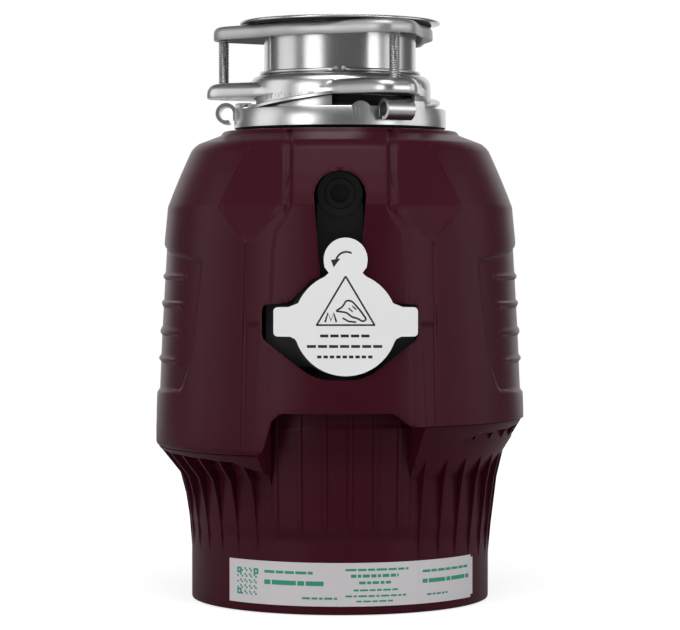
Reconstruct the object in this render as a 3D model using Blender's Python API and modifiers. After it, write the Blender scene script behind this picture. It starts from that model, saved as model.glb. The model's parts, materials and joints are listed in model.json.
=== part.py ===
"""A kitchen garbage disposal: sink mount, grinding chamber, motor and casing, as separate solids.

The origin is on the vertical axis of the motor, at the bottom of the lower housing. +Z is up, and the
front, with the discharge outlet, faces -Y. Sizes are in millimetres and angles in degrees. Each helper
turns them into metres as it makes its mesh.
"""

import math

import bmesh
import bpy
from mathutils import Matrix, Vector

MM = 0.001
GAP = 0.3  # between pieces that touch on the real object
RUN = 0.6  # between a turning piece and what it turns in
OVERSHOOT = 1.0  # how far a cutter runs past what it cuts
STEPS_LARGE = 40
STEPS = 24
STEPS_SMALL = 10
FRONT = 270.0  # the front's angle about Z

# Overall
TOP_Z = 327.5
COVER_R = 105.0
HOUSING_R = 84.7
SHELL_WALL = 3.5
COVER_TOP_Z = 265.0

# Sink mount: the sleeve and its flange, which pass down through the sink
SLEEVE_R = 43.2
SLEEVE_WALL = 1.2
SLEEVE_ABOVE_HOPPER = 12.0
SLEEVE_LOW_Z = COVER_TOP_Z + SLEEVE_ABOVE_HOPPER
FLANGE_WIDTH = 13.95
FLANGE_THICK = 1.1
FLANGE_FILLET = 3.0
SINK_FLANGE_R = SLEEVE_R + FLANGE_WIDTH
SINK_GASKET_THICK = 1.2
SINK_GASKET_INSET = 5.0

# Mounting ring: a body with three lobes, a raised collar, and a skirt with the tracks
RING_FIT = 1.8  # between the sleeve and the ring's bore
RING_BODY_WALL = 6.7
SKIRT_WALL = 2.0
COUNTERBORE = 2.0  # how far the skirt's bore runs up into the ring's body
COLLAR_INSET = 3.5
MOUNT_BORE_R = SLEEVE_R + RING_FIT
MOUNT_BODY_R = MOUNT_BORE_R + RING_BODY_WALL
SKIRT_BORE_R = MOUNT_BODY_R - SKIRT_WALL
SCREW_R = 3.175
SCREW_REACH = 14.8  # from the ring's body out to the screws
SCREW_PCD_R = MOUNT_BODY_R + SCREW_REACH
SCREW_ANGLES = {"left": 176.7, "front": 296.7, "rear": 56.7}
SCREW_SLOT_WIDTH = 1.2
SCREW_SLOT_DEPTH = 1.2
LOBE_EDGE = 9.3  # from the screws out to a lobe's end
LOBE_TIP = 9.0  # half the width of a lobe at its end
RING_LOBE_R = SCREW_PCD_R + LOBE_EDGE
BOSS_R = 4.8
BOSS_HEIGHT = 2.5
COLLAR_HEIGHT = 3.0
RING_HEIGHT = 9.6

# Tracks, which rise as the angle grows, and the lock ring that turns under them
TRACK_WIDTH = 5.3
TRACK_THICK = 2.5
TRACK_START = 204.0
TRACK_ANGLE = 61.0
TRACK_RISE = 7.6
TRACK_DROP = 8.3  # from the ring's body down to a track's start
TRACK_R = MOUNT_BODY_R + TRACK_WIDTH
LOCK_FIT = 1.3  # between the tracks and the lock ring's band
LOCK_WALL = 2.0
LOCK_FOOT = 1.6
LOCK_HEIGHT = 10.3
LOCK_ABOVE_COVER = 2.0
LOCK_R = TRACK_R + LOCK_FIT + LOCK_WALL
LOCK_LOW_Z = COVER_TOP_Z + LOCK_ABOVE_COVER
LOCK_TOP_Z = LOCK_LOW_Z + LOCK_HEIGHT
TAB_FIT = 1.9  # between the ring's body and the tabs' inner ends
TAB_ANGLE = 12.0
TAB_THICK = 2.0
TAB_LIFT = 0.65  # between a track and the tab that rides on it
TAB_BEHIND_TRACK = 2.0  # the angle from a tab to the start of its track
TAB_R = MOUNT_BODY_R + TAB_FIT
TRACK_ABOVE_FOOT = 8.6
TRACK_LOW_Z = LOCK_LOW_Z + TRACK_ABOVE_FOOT
RING_LOW_Z = TRACK_LOW_Z + TRACK_DROP
RING_TOP_Z = RING_LOW_Z + RING_HEIGHT
COLLAR_TOP_Z = RING_TOP_Z + COLLAR_HEIGHT
LOOP_R = 5.6
LOOP_WALL = 1.6
LOOP_LENGTH = 17.0
LOOP_ANGLE = 179.0
LOOP_STANDOFF = 4.1  # from the band out to a loop's centre
LOOP_BELOW_RIM = 1.7
LOOP_PCD_R = LOCK_R + LOOP_STANDOFF
LOOP_Z = LOCK_TOP_Z - LOOP_BELOW_RIM

# Snap ring, a round wire
SNAP_FIT = 0.5
SNAP_WIRE = 2.2

# Backing flange: a pressed plate with its rim turned down
BACKING_DROP = 10.5  # from the top of the sink flange to the rim's lower edge
BACKING_WALL = 2.2
BACKING_FIT = 2.6
BACKING_WIDTH = 7.0
BACKING_LOBE_EDGE = 5.5
BACKING_LOBE_TIP = 12.0
BACKING_LOW_Z = TOP_Z - BACKING_DROP
BACKING_HOLE_R = SLEEVE_R + BACKING_FIT
BACKING_FLAT_R = BACKING_HOLE_R + BACKING_WIDTH
BACKING_LOBE_R = SCREW_PCD_R + BACKING_LOBE_EDGE
LOBE_FLAT_ANGLE = 26.0  # half of each round stretch between two lobes

# Mounting gasket and splash baffle
GASKET_INSET = 2.3
GASKET_THICK = 3.6
GASKET_LIP = 4.4
GASKET_LAP = 7.0  # how far its thin lip reaches up round the sleeve
DRAW_IN = 5.3  # how far the sink mount comes down as the lock ring turns
GASKET_R = LOCK_R - LOCK_WALL - GASKET_INSET
THROAT_STEP = 3.2  # how much narrower the hopper's throat is than the sleeve
BAFFLE_ABOVE_SLEEVE_END = 14.0
BAFFLE_WALL = 2.0
BAFFLE_HOLE_R = 12.0
BAFFLE_SLIT = 0.8
BAFFLE_TOP_Z = SLEEVE_LOW_Z + BAFFLE_ABOVE_SLEEVE_END

# Motor
SHAFT_R = 7.5
SHAFT_STEP = 1.5  # how much narrower its upper end is
HEX_ACROSS = 6.35
HEX_DEPTH = 14.0
FRAME_Z = 12.0
FRAME_R = 72.0
FRAME_WALL = 9.0
FRAME_HEIGHT = 26.0
FRAME_PLATE = 4.0
BEARING_WALL = 8.5
BEARING_R = SHAFT_R + BEARING_WALL
BEARING_HEIGHT = 10.0
BEARING_SHORTFALL = 1.0  # how much shorter a bearing is than its seat
STATOR_R = 64.0
STATOR_BORE_R = 36.0
STATOR_LOW_Z = 46.0
STATOR_HIGH_Z = 98.0
WINDING_HEIGHT = 15.0
WINDING_ROUND = 4.0
AIR_GAP = 0.8
THROUGH_BOLT_R = 2.4
THROUGH_BOLT_HEAD_R = 4.5
THROUGH_BOLT_HEAD = 3.0
THROUGH_BOLT_PCD_R = FRAME_R - 4.0

# Grinding chamber
BOWL_LOW_Z = 132.0
BOWL_HIGH_Z = 181.0
BOWL_R = 73.0
BOWL_WALL = 4.0
BOWL_FLOOR = 5.0
BOWL_SKIRT = 8.0
BOWL_HUB_HEIGHT = 24.0
CHAMBER_FLANGE = 5.0
CHAMBER_BOLT_R = 2.5
CHAMBER_BOLT_PCD_R = BOWL_R + 6.0
CHAMBER_FLANGE_R = CHAMBER_BOLT_PCD_R + 5.0
HOPPER_R = 72.0
HOPPER_WALL = 3.0
HOPPER_LOW_Z = BOWL_HIGH_Z + GAP
HOPPER_NECK = 28.0  # from its top down to its full width
HOPPER_THROAT_R = SLEEVE_R - THROAT_STEP
HOPPER_FLANGE_R = GASKET_R
HOPPER_FLANGE_THICK = 4.0
HOPPER_FLANGE_WIDTH = 8.0
CHAMBER_RING_WALL = 7.7
CHAMBER_RING_HEIGHT = 24.0
CHAMBER_RING_R = HOPPER_R - HOPPER_WALL - GAP
CHAMBER_RING_BORE_R = CHAMBER_RING_R - CHAMBER_RING_WALL
NOTCH_DEPTH = 2.5
NOTCH_WIDTH = 4.0
TURNTABLE_FIT = 1.0
TURNTABLE_R = CHAMBER_RING_BORE_R - TURNTABLE_FIT
TURNTABLE_THICK = 3.0
TURNTABLE_Z = BOWL_HIGH_Z + 3.0
IMPELLER_PIVOT_R = 36.0
IMPELLER_PIN_R = 3.0
IMPELLER_THICK = 4.0
IMPELLER_HEIGHT = 13.0
IMPELLER_TAIL_R = 9.0
DRAIN_HOLE_R = 2.5
DRAIN_HOLE_PCD_R = 50.0
NUT_WALL = 5.0
NUT_HEIGHT = 8.0
SEAL_HEIGHT = 5.0
SLINGER_THICK = 2.5

# Outlet and inlet, which face the front
OUTLET_Z = 158.5
OUTLET_RECESS = 8.0  # from the cover's widest point back to the outlet's face
OUTLET_FACE_Y = -(COVER_R - OUTLET_RECESS)
OUTLET_BORE_R = 19.0
OUTLET_PIPE_R = 22.0
OUTLET_FLANGE_R = 27.5
OUTLET_FLANGE_THICK = 4.0
BOWL_FRONT_WIDTH = 80.0
BOWL_FRONT_BEHIND = 11.0  # from the outlet's face back to the bowl's flat front
COVER_TAPER = 6.6  # how much narrower the cover is at its crease than at its lower edge
COVER_CREASE_R = COVER_R - COVER_TAPER
INLET_Z = 228.6
INLET_R = 12.3
INLET_BORE_R = 8.5
INLET_FIT = 1.4  # between the top of the inlet's face and the inside of the cover
PLUG_SETBACK = 1.5
PLUG_RECESS_R = 5.2
PLUG_LENGTH = 10.0
PLUG_RECESS = 8.0

# Outer cover
ISOLATION_FIT = 0.6
ISOLATION_WIDTH = 4.8
ISOLATION_HEIGHT = 5.0
COVER_HOLE_R = HOPPER_FLANGE_R + ISOLATION_WIDTH + 2 * ISOLATION_FIT
COLLAR_WALL = 5.5
COVER_COLLAR_R = COVER_HOLE_R + COLLAR_WALL
COLLAR_ROUND = 1.5
SHOULDER_WIDTH = 16.0
SHOULDER_FILLET = 8.0
SHOULDER_DROP = 9.0  # from the collar's top down to the shoulder's edge
SHOULDER_R = COVER_COLLAR_R + SHOULDER_WIDTH
SHOULDER_Z = COVER_TOP_Z - SHOULDER_DROP
CREASE_Z = 222.0
BEND_Z = 240.0
BEND_R = (SHOULDER_R + COVER_CREASE_R) / 2
BEND_SLOPE = (BEND_R - SHOULDER_R) / (SHOULDER_Z - BEND_Z)
INLET_ABOVE_BEND = INLET_Z + INLET_R - (BEND_Z - SHELL_WALL)
INLET_FACE_Y = -(BEND_R - SHELL_WALL - BEND_SLOPE * INLET_ABOVE_BEND - INLET_FIT)
FULL_WIDTH_Z = 97.0
GRIP_DEPTH = 1.0
GRIP_TOP_Z = 198.0
GRIP_LOW_Z = 118.0
COVER_LOW_EDGE_Z = 87.3
COVER_HIGH_EDGE_Z = 103.0
COVER_STEP_X = -46.0  # the lower edge is low to the left of this
ARCH_Z = 110.5
ARCH_LEFT_X = -32.0
ARCH_RIGHT_X = 29.0
FACET_ANGLE = 30.5  # either side of the front
FACET_DEPTH = 3.1
FACET_WIDTH = 44.0
FACET_TOP_DEPTH = 5.2  # how far it cuts in at the shoulder
FACET_HEIGHT = 21.0  # below the crease
FACET_LEAN = 4.2
SLOT_WIDTH = 27.0
SLOT_ABOVE_INLET = 11.4
SLOT_TOP_Z = INLET_Z + SLOT_ABOVE_INLET
SLOT_SHOULDER_Z = OUTLET_Z + 25.5
SLOT_WIDE_WIDTH = 86.0
SLOT_WIDE_SLOPE = 14.0
SLOT_WIDE_Z = OUTLET_Z + 10.5
SLOT_SIDE_Z = OUTLET_Z - 7.5
SLOT_LOW_Z = OUTLET_Z - 30.5
SLOT_LOW_WIDTH = 36.0

# Lower housing. Its wall widens in steps, then flares to meet the cover.
FLARE_INSET = 1.5
HOUSING_FLARE_R = COVER_R - FLARE_INSET
COVER_LAP_FIT = 1.0
HOUSING_TONGUE_R = COVER_R - SHELL_WALL - COVER_LAP_FIT
HOUSING_LIP_WIDTH = 10.7
HOUSING_LIP_R = HOUSING_R - HOUSING_LIP_WIDTH
HOUSING_FLOOR = 3.0
BAND_TOP_Z = 30.0
WIDENING = {43.0: 2.3, 68.0: 5.3, 84.0: 7.8}  # how far the wall stands out, by height
FLARE_EDGE = 3.0
SHOULDER_LOW_Z = 72.0

# Foam between the chamber and the cover
FOAM_FIT = 2.5
FOAM_LOW_Z = 122.0
FOAM_NECK_R = HOPPER_R + 4.0
FOAM_FRONT_WIDTH = 96.0

# Base
BASE_THICK = 2.5
BASE_LOW_Z = HOUSING_FLOOR + GAP
BASE_HIGH_Z = BASE_LOW_Z + BASE_THICK
BASE_PROUD = 1.0  # the height of the lowest fitting above the surface it stands on
HEX_HOLE_R = 8.0
BUTTON_R = 5.0
BUTTON_X = 42.0
BUTTON_Y = -22.0
BUTTON_TRAVEL = 2.5
SPRING_WALL = 1.2
PROTECTOR_SIZE = (20.0, 18.0, 13.5)
PROTECTOR_OFFSET = 1.0
BUTTON_SEAT = 6.0
CAPACITOR_R = 12.0
CAPACITOR_HEIGHT = 13.0
CAPACITOR_AT = (-40.0, -22.0)
SWITCH_SIZE = (24.0, 14.0, 10.0)
SWITCH_Y = 39.0
CORD_HOLE_R = 11.0
CORD_X = -48.0
CORD_Y = 20.0
BUSH_WALL = 2.5
TERMINAL_X = 0.0
TERMINAL_Y = 48.0
TERMINAL_WIDTH = 44.0
TERMINAL_DEPTH = 26.0
TERMINAL_THICK = 1.5
BASE_SCREW_PCD_R = 70.0
BASE_SCREW_R = 1.8
BASE_SCREW_HEAD_R = 3.6

# Card and label
CARD_X = 3.0
CARD_THICK = 0.8
CARD_R = 27.7
CARD_WIDTH = 77.0
CARD_TAB_LOW_Z = OUTLET_Z - 6.5
CARD_TAB_HIGH_Z = OUTLET_Z + 9.1
CARD_PULL_Z = OUTLET_Z + 34.5
CARD_PULL_R = 11.7
CARD_NECK_ANGLE = 62.0
LABEL_LOW_Z = 4.8
LABEL_HIGH_Z = 28.5
LABEL_LEFT = 45.6
LABEL_RIGHT = 60.0
LABEL_THICK = 0.3


def clear_scene():
    for old in list(bpy.data.objects):
        bpy.data.objects.remove(old, do_unlink=True)


def collection(name):
    made = bpy.data.collections.new(name)
    bpy.context.scene.collection.children.link(made)
    return made


clear_scene()
PARTS = collection("garbage_disposal")
CUTTERS = collection("cutters")


def material(name, colour, roughness, metallic=0.0):
    made = bpy.data.materials.new(name)
    made.use_nodes = True
    shader = made.node_tree.nodes["Principled BSDF"]
    shader.inputs["Base Color"].default_value = (*colour, 1)
    shader.inputs["Roughness"].default_value = roughness
    shader.inputs["Metallic"].default_value = metallic
    made.diffuse_color = (*colour, 1)
    return made


def finish(bm, name, look, at=(0, 0, 0)):
    """Makes an object of the shape, which was built about its own origin, and places it."""
    mesh = bpy.data.meshes.new(name)
    bm.to_mesh(mesh)
    bm.free()
    made = bpy.data.objects.new(name, mesh)
    made.location = Vector(at) * MM
    if look is None:
        made.hide_render = True
        made.display_type = "WIRE"
        CUTTERS.objects.link(made)
    else:
        mesh.materials.append(look)
        PARTS.objects.link(made)
    return made


def turned(name, profile, look=None, at=(0, 0, 0), steps=STEPS, ring=True):
    """A profile of (radius, height) turned about Z, from the top, outwards and down its outer side."""
    bm = bmesh.new()
    points = [bm.verts.new((r * MM, 0, z * MM)) for r, z in profile]
    for first, second in zip(points, points[1:] + points[:1] if ring else points[1:]):
        bm.edges.new((first, second))
    made = finish(bm, name, look, at)
    screw = made.modifiers.new("turn", "SCREW")
    screw.steps = steps
    screw.render_steps = steps
    screw.use_merge_vertices = not ring
    screw.merge_threshold = 0.00001
    screw.use_smooth_shade = True
    return made


def tube(name, outer, inner, low, high, look=None, at=(0, 0, 0), steps=STEPS):
    return turned(name, [(inner, high), (outer, high), (outer, low), (inner, low)], look, at, steps)


def rod(name, radius, low, high, look=None, at=(0, 0, 0), steps=STEPS):
    return turned(name, [(0, high), (radius, high), (radius, low), (0, low)], look, at, steps, False)


def box(name, low, high, look=None, turn=0.0):
    """A box between two corners, turned about Z through the origin."""
    bm = bmesh.new()
    bmesh.ops.create_cube(bm, size=MM)
    size = Vector(high) - Vector(low)
    bmesh.ops.scale(bm, vec=size, verts=bm.verts)
    bmesh.ops.translate(bm, vec=(Vector(low) + Vector(high)) / 2 * MM, verts=bm.verts)
    way = Matrix.Rotation(math.radians(turn), 3, "Z")
    bmesh.ops.rotate(bm, cent=(0, 0, 0), matrix=way, verts=bm.verts)
    return finish(bm, name, look)


def slab(name, outline, low, high, look=None, axis="Z", at=(0, 0, 0)):
    """An outline carried from low to high along Z, or along Y for an outline in X and Z."""
    bm = bmesh.new()
    face = bm.faces.new([bm.verts.new((u * MM, v * MM, low * MM)) for u, v in outline])
    moved = bmesh.ops.extrude_face_region(bm, geom=[face])["geom"]
    tops = [item for item in moved if isinstance(item, bmesh.types.BMVert)]
    bmesh.ops.translate(bm, vec=(0, 0, (high - low) * MM), verts=tops)
    if axis == "Y":
        way = Matrix.Rotation(math.radians(90), 3, "X")
        bmesh.ops.rotate(bm, cent=(0, 0, 0), matrix=way, verts=bm.verts)
    bmesh.ops.recalc_face_normals(bm, faces=bm.faces)
    return finish(bm, name, look, at)


def swept(name, section, start, angle, steps, look=None, rise=0.0):
    """A section of (radius, height) carried round Z through an angle, rising steadily."""
    bm = bmesh.new()
    way = Matrix.Rotation(math.radians(start), 3, "Z")
    bm.faces.new([bm.verts.new(way @ Vector((r * MM, 0, z * MM))) for r, z in section])
    bmesh.ops.spin(
        bm,
        geom=bm.verts[:] + bm.edges[:] + bm.faces[:],
        cent=(0, 0, 0),
        axis=(0, 0, 1),
        dvec=(0, 0, rise * MM / steps),
        angle=math.radians(angle),
        steps=steps,
        use_duplicate=False,
    )
    bmesh.ops.recalc_face_normals(bm, faces=bm.faces)
    return finish(bm, name, look)


# Nodes whose many curved walls meet at small angles, where the exact solver leaves open edges
MANY_WALLS = (
    "mounting_ring",
    "lock_ring",
    "hopper",
    "drain_bowl",
    "lower_end_frame",
    "turntable",
    "outer_cover",
    "cover_room",
    "lower_housing",
)


def boolean(body, tool, operation):
    step = body.modifiers.new(tool.name, "BOOLEAN")
    step.operation = operation
    step.object = tool
    step.solver = "MANIFOLD" if body.name in MANY_WALLS else "EXACT"


def cut(body, *tools):
    for tool in tools:
        boolean(body, tool, "DIFFERENCE")


def join(body, *tools):
    for tool in tools:
        boolean(body, tool, "UNION")


def lay_along_y(thing):
    """Turns a piece made about Z so that its top faces the front."""
    thing.rotation_euler.x = math.radians(90)
    return thing


def polar(radius, angle):
    return radius * math.cos(math.radians(angle)), radius * math.sin(math.radians(angle))


def arc(radius, start, end, steps, centre=(0.0, 0.0)):
    """Points along a circle, both ends included."""
    turns = [start + (end - start) * step / steps for step in range(steps + 1)]
    return [(centre[0] + polar(radius, turn)[0], centre[1] + polar(radius, turn)[1]) for turn in turns]


def lobed_outline(flat_r, lobe_r, tip, angles, steps=6):
    """A round plate with a blunt lobe at each angle: arcs of the flat radius, and arcs at the tips."""
    outline = []
    tip_turn = math.degrees(math.asin(tip / lobe_r))
    ordered = sorted(angles)
    for place, angle in enumerate(ordered):
        outline += arc(lobe_r, angle - tip_turn, angle + tip_turn, steps // 2)
        following = ordered[(place + 1) % len(ordered)] + (360 if place == len(ordered) - 1 else 0)
        middle = (angle + following) / 2
        outline += arc(flat_r, middle - LOBE_FLAT_ANGLE, middle + LOBE_FLAT_ANGLE, steps)
    return outline


BURGUNDY = (0.085, 0.012, 0.024)
STEEL = (0.62, 0.62, 0.63)
BRIGHT = (0.75, 0.75, 0.76)
BLACK = (0.012, 0.012, 0.013)
COPPER = (0.72, 0.27, 0.12)


# ---------------------------------------------------------------- sink mount


def make_sink_flange():
    sleeve_bore = SLEEVE_R - SLEEVE_WALL
    under = TOP_Z - FLANGE_THICK
    profile = [
        (sleeve_bore, under - FLANGE_FILLET / 2),
        (sleeve_bore + FLANGE_FILLET, TOP_Z - 0.4),
        (SINK_FLANGE_R - 1.0, TOP_Z),
        (SINK_FLANGE_R, under),
        (SLEEVE_R + FLANGE_FILLET, under),
        (SLEEVE_R, under - FLANGE_FILLET),
        (SLEEVE_R, SLEEVE_LOW_Z),
        (sleeve_bore, SLEEVE_LOW_Z),
    ]
    return turned("sink_flange", profile, material("flange_steel", STEEL, 0.28, 1), steps=STEPS_LARGE)


def gasket_top():
    return TOP_Z - FLANGE_THICK - GAP


def backing_top():
    return gasket_top() - SINK_GASKET_THICK - GAP


def make_sink_gasket():
    look = material("fibre", (0.05, 0.05, 0.05), 0.9)
    outer = SINK_FLANGE_R - SINK_GASKET_INSET
    inner = SLEEVE_R + FLANGE_FILLET + 1.0
    return tube("sink_gasket", outer, inner, gasket_top() - SINK_GASKET_THICK, gasket_top(), look)


def make_backing_flange():
    """A pressed plate with its rim turned down. The screws push up on its lobes."""
    look = material("zinc_plate", BRIGHT, 0.32, 1)
    angles = SCREW_ANGLES.values()
    outer = lobed_outline(BACKING_FLAT_R, BACKING_LOBE_R, BACKING_LOBE_TIP, angles)
    inner = lobed_outline(
        BACKING_FLAT_R - BACKING_WALL,
        BACKING_LOBE_R - BACKING_WALL,
        BACKING_LOBE_TIP - BACKING_WALL,
        angles,
    )
    low = BACKING_LOW_Z - OVERSHOOT
    plate = slab("backing_flange", outer, BACKING_LOW_Z, backing_top(), look)
    hollow = slab("backing_hollow", inner, low, backing_top() - BACKING_WALL)
    cut(plate, hollow, rod("backing_hole", BACKING_HOLE_R, low, TOP_Z))
    return plate


def make_mounting_screws():
    look = material("screw_steel", BRIGHT, 0.3, 1)
    for side, angle in SCREW_ANGLES.items():
        x, y = polar(SCREW_PCD_R, angle)
        top = backing_top() - BACKING_WALL - GAP
        screw = rod(f"mounting_screw_{side}", SCREW_R, RING_LOW_Z, top, look, (x, y, 0), STEPS_SMALL)
        slot = box(
            f"screw_slot_{side}",
            (x - SCREW_SLOT_WIDTH / 2, y - SCREW_R - OVERSHOOT, RING_LOW_Z - OVERSHOOT),
            (x + SCREW_SLOT_WIDTH / 2, y + SCREW_R + OVERSHOOT, RING_LOW_Z + SCREW_SLOT_DEPTH),
        )
        cut(screw, slot)


def make_mounting_ring():
    """The upper ring: a lobed body, a raised collar, a skirt, and three tracks that climb round it."""
    look = material("mount_steel", BRIGHT, 0.3, 1)
    outline = lobed_outline(MOUNT_BODY_R, RING_LOBE_R, LOBE_TIP, SCREW_ANGLES.values())
    ring = slab("mounting_ring", outline, RING_LOW_Z, RING_TOP_Z, look)
    inside = RING_TOP_Z - OVERSHOOT
    join(ring, rod("mount_collar", MOUNT_BODY_R - COLLAR_INSET, inside, COLLAR_TOP_Z))
    for side, angle in SCREW_ANGLES.items():
        at = (*polar(SCREW_PCD_R, angle), 0)
        boss_top = RING_TOP_Z + BOSS_HEIGHT
        join(ring, rod(f"boss_{side}", BOSS_R, inside, boss_top, at=at, steps=STEPS_SMALL))
        low = RING_LOW_Z - OVERSHOOT
        cut(ring, rod(f"boss_hole_{side}", SCREW_R + GAP, low, TOP_Z, at=at, steps=STEPS_SMALL))
    root = SKIRT_BORE_R + 0.5
    for number in range(3):
        start = TRACK_START + 120 * number
        wall = [
            (SKIRT_BORE_R, TRACK_LOW_Z),
            (MOUNT_BODY_R, TRACK_LOW_Z),
            (MOUNT_BODY_R, RING_LOW_Z + OVERSHOOT),
            (SKIRT_BORE_R, RING_LOW_Z + OVERSHOOT),
        ]
        track = [
            (root, TRACK_LOW_Z),
            (TRACK_R, TRACK_LOW_Z),
            (TRACK_R, TRACK_LOW_Z + TRACK_THICK),
            (root, TRACK_LOW_Z + TRACK_THICK),
        ]
        join(ring, swept(f"skirt_{number}", wall, start, TRACK_ANGLE, 8))
        join(ring, swept(f"track_{number}", track, start, TRACK_ANGLE, 8, rise=TRACK_RISE))
    cut(ring, rod("mount_bore", MOUNT_BORE_R, RING_LOW_Z - OVERSHOOT, TOP_Z))
    low = TRACK_LOW_Z - OVERSHOOT
    cut(ring, rod("mount_counterbore", SKIRT_BORE_R + 0.2, low, RING_LOW_Z + COUNTERBORE))
    return ring


def make_snap_ring():
    """A spring wire ring that sits on the mounting ring and keeps the pieces on the sleeve."""
    look = material("spring_wire", BRIGHT, 0.2, 1)
    low = COLLAR_TOP_Z + GAP
    inner = SLEEVE_R + SNAP_FIT
    section = [
        (inner, low),
        (inner + SNAP_WIRE, low),
        (inner + SNAP_WIRE, low + SNAP_WIRE),
        (inner, low + SNAP_WIRE),
    ]
    return swept("snap_ring", section, FRONT + 3, 350, 28, look)


def make_lock_ring():
    """The lower ring: a band with a foot, three tabs that ride on the tracks, and three rolled loops."""
    look = material("lock_ring_steel", BRIGHT, 0.25, 1)
    bore = LOCK_R - LOCK_WALL
    band = turned(
        "lock_ring",
        [
            (bore, LOCK_TOP_Z),
            (LOCK_R, LOCK_TOP_Z),
            (LOCK_R, LOCK_LOW_Z),
            (GASKET_R + OVERSHOOT, LOCK_LOW_Z),
            (GASKET_R + OVERSHOOT, LOCK_LOW_Z + LOCK_FOOT),
            (bore, LOCK_LOW_Z + LOCK_FOOT),
        ],
        look,
        steps=STEPS_LARGE,
    )
    slope = TRACK_RISE / TRACK_ANGLE
    tab_end = TRACK_START - TAB_BEHIND_TRACK
    tab_low = TRACK_LOW_Z + TRACK_THICK + slope * (tab_end - TRACK_START) + TAB_LIFT
    for number in range(3):
        turn = 120 * number
        tab = [
            (TAB_R, tab_low),
            (LOCK_R, tab_low),
            (LOCK_R, tab_low + TAB_THICK),
            (TAB_R, tab_low + TAB_THICK),
        ]
        post = [
            (bore, LOCK_TOP_Z - OVERSHOOT),
            (LOCK_R, LOCK_TOP_Z - OVERSHOOT),
            (LOCK_R, tab_low + OVERSHOOT),
            (bore, tab_low + OVERSHOOT),
        ]
        join(band, swept(f"tab_{number}", tab, tab_end - TAB_ANGLE + turn, TAB_ANGLE, 3))
        join(band, swept(f"tab_post_{number}", post, tab_end - TAB_ANGLE + turn, TAB_ANGLE, 3))
        x, y = polar(LOOP_PCD_R, LOOP_ANGLE + turn)
        half = LOOP_LENGTH / 2
        loop = tube(f"loop_{number}", LOOP_R, LOOP_R - LOOP_WALL, -half, half, steps=14)
        loop.location = Vector((x, y, LOOP_Z)) * MM
        loop.rotation_euler = (math.radians(90), 0, math.radians(LOOP_ANGLE + turn))
        join(band, loop)
    cut(band, rod("lock_bore", bore, LOCK_LOW_Z + LOCK_FOOT, LOCK_TOP_Z, steps=STEPS_LARGE))
    return band


def make_mounting_gasket():
    """A rubber seal on the hopper. Its thin lip stays between the sleeve and the mounting ring."""
    look = material("gasket_rubber", BLACK, 0.8)
    low = COVER_TOP_Z + GAP
    inner = SLEEVE_R + RUN
    outer = inner + GASKET_LIP
    thin = MOUNT_BORE_R - GAP
    step = RING_LOW_Z + COUNTERBORE - DRAW_IN - GAP
    profile = [
        (inner, SLEEVE_LOW_Z + GASKET_LAP),
        (thin, SLEEVE_LOW_Z + GASKET_LAP),
        (thin, step),
        (outer, step),
        (outer, low + GASKET_THICK),
        (GASKET_R, low + GASKET_THICK),
        (GASKET_R, low),
        (HOPPER_THROAT_R - 1, low),
        (HOPPER_THROAT_R - 1, low + GASKET_THICK),
        (inner, low + GASKET_THICK),
    ]
    return turned("mounting_gasket", profile, look)


def make_splash_baffle():
    """A rubber cup with a slit diaphragm. It lifts out through the sleeve."""
    look = material("baffle_rubber", BLACK, 0.7)
    outer = SLEEVE_R - SLEEVE_WALL - RUN
    inner = outer - BAFFLE_WALL
    low = COVER_TOP_Z + GAP + GASKET_THICK + GAP
    profile = [
        (inner, BAFFLE_TOP_Z),
        (outer, BAFFLE_TOP_Z),
        (outer, low),
        (inner, low),
        (inner, low + 10),
        (BAFFLE_HOLE_R, low + 7),
        (BAFFLE_HOLE_R, low + 9),
        (inner, low + 12),
    ]
    baffle = turned("splash_baffle", profile, look)
    near = (BAFFLE_HOLE_R - 2, -BAFFLE_SLIT / 2, low + 5)
    far = (inner - 4, BAFFLE_SLIT / 2, low + 14)
    for number in range(8):
        cut(baffle, box(f"baffle_slit_{number}", near, far, turn=45 * number))
    return baffle


# ---------------------------------------------------------------- grinding chamber


def make_hopper():
    """The upper chamber, with the inlet for a dishwasher drain on its front."""
    look = material("chamber_plastic", BLACK, 0.45)
    top = COVER_TOP_Z
    low = HOPPER_LOW_Z
    flange_top = low + CHAMBER_FLANGE
    inner = HOPPER_R - HOPPER_WALL
    neck = HOPPER_FLANGE_R - HOPPER_FLANGE_WIDTH
    neck_low = top - 3 * HOPPER_FLANGE_THICK
    hopper = turned(
        "hopper",
        [
            (HOPPER_THROAT_R, top),
            (HOPPER_FLANGE_R, top),
            (HOPPER_FLANGE_R, top - HOPPER_FLANGE_THICK),
            (neck, top - HOPPER_FLANGE_THICK),
            (neck, neck_low),
            (HOPPER_R, top - HOPPER_NECK),
            (HOPPER_R, flange_top),
            (CHAMBER_FLANGE_R, flange_top),
            (CHAMBER_FLANGE_R, low),
            (inner, low),
            (inner, top - HOPPER_NECK - 1),
            (HOPPER_THROAT_R, neck_low - 1),
        ],
        look,
        steps=STEPS_LARGE,
    )
    at = (0, 0, INLET_Z)
    root = HOPPER_R - 2 * HOPPER_WALL
    face = -INLET_FACE_Y
    half = INLET_R + 0.2
    inlet = lay_along_y(rod("inlet_boss", INLET_R, root, face, at=at, steps=STEPS_LARGE))
    bore = lay_along_y(rod("inlet_bore", INLET_BORE_R, root - 14, COVER_R, at=at, steps=32))
    front = box("hopper_front", (-half, 1 - face, low), (half, -root, INLET_Z - 5))
    chamber = rod("hopper_room", inner, low + 6, INLET_Z + 6)
    join(hopper, inlet, front)
    cut(hopper, bore, chamber)
    cut_bolt_holes(hopper)
    return hopper


def bolt_places():
    return [polar(CHAMBER_BOLT_PCD_R, angle) for angle in (45, 135, 225, 315)]


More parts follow.
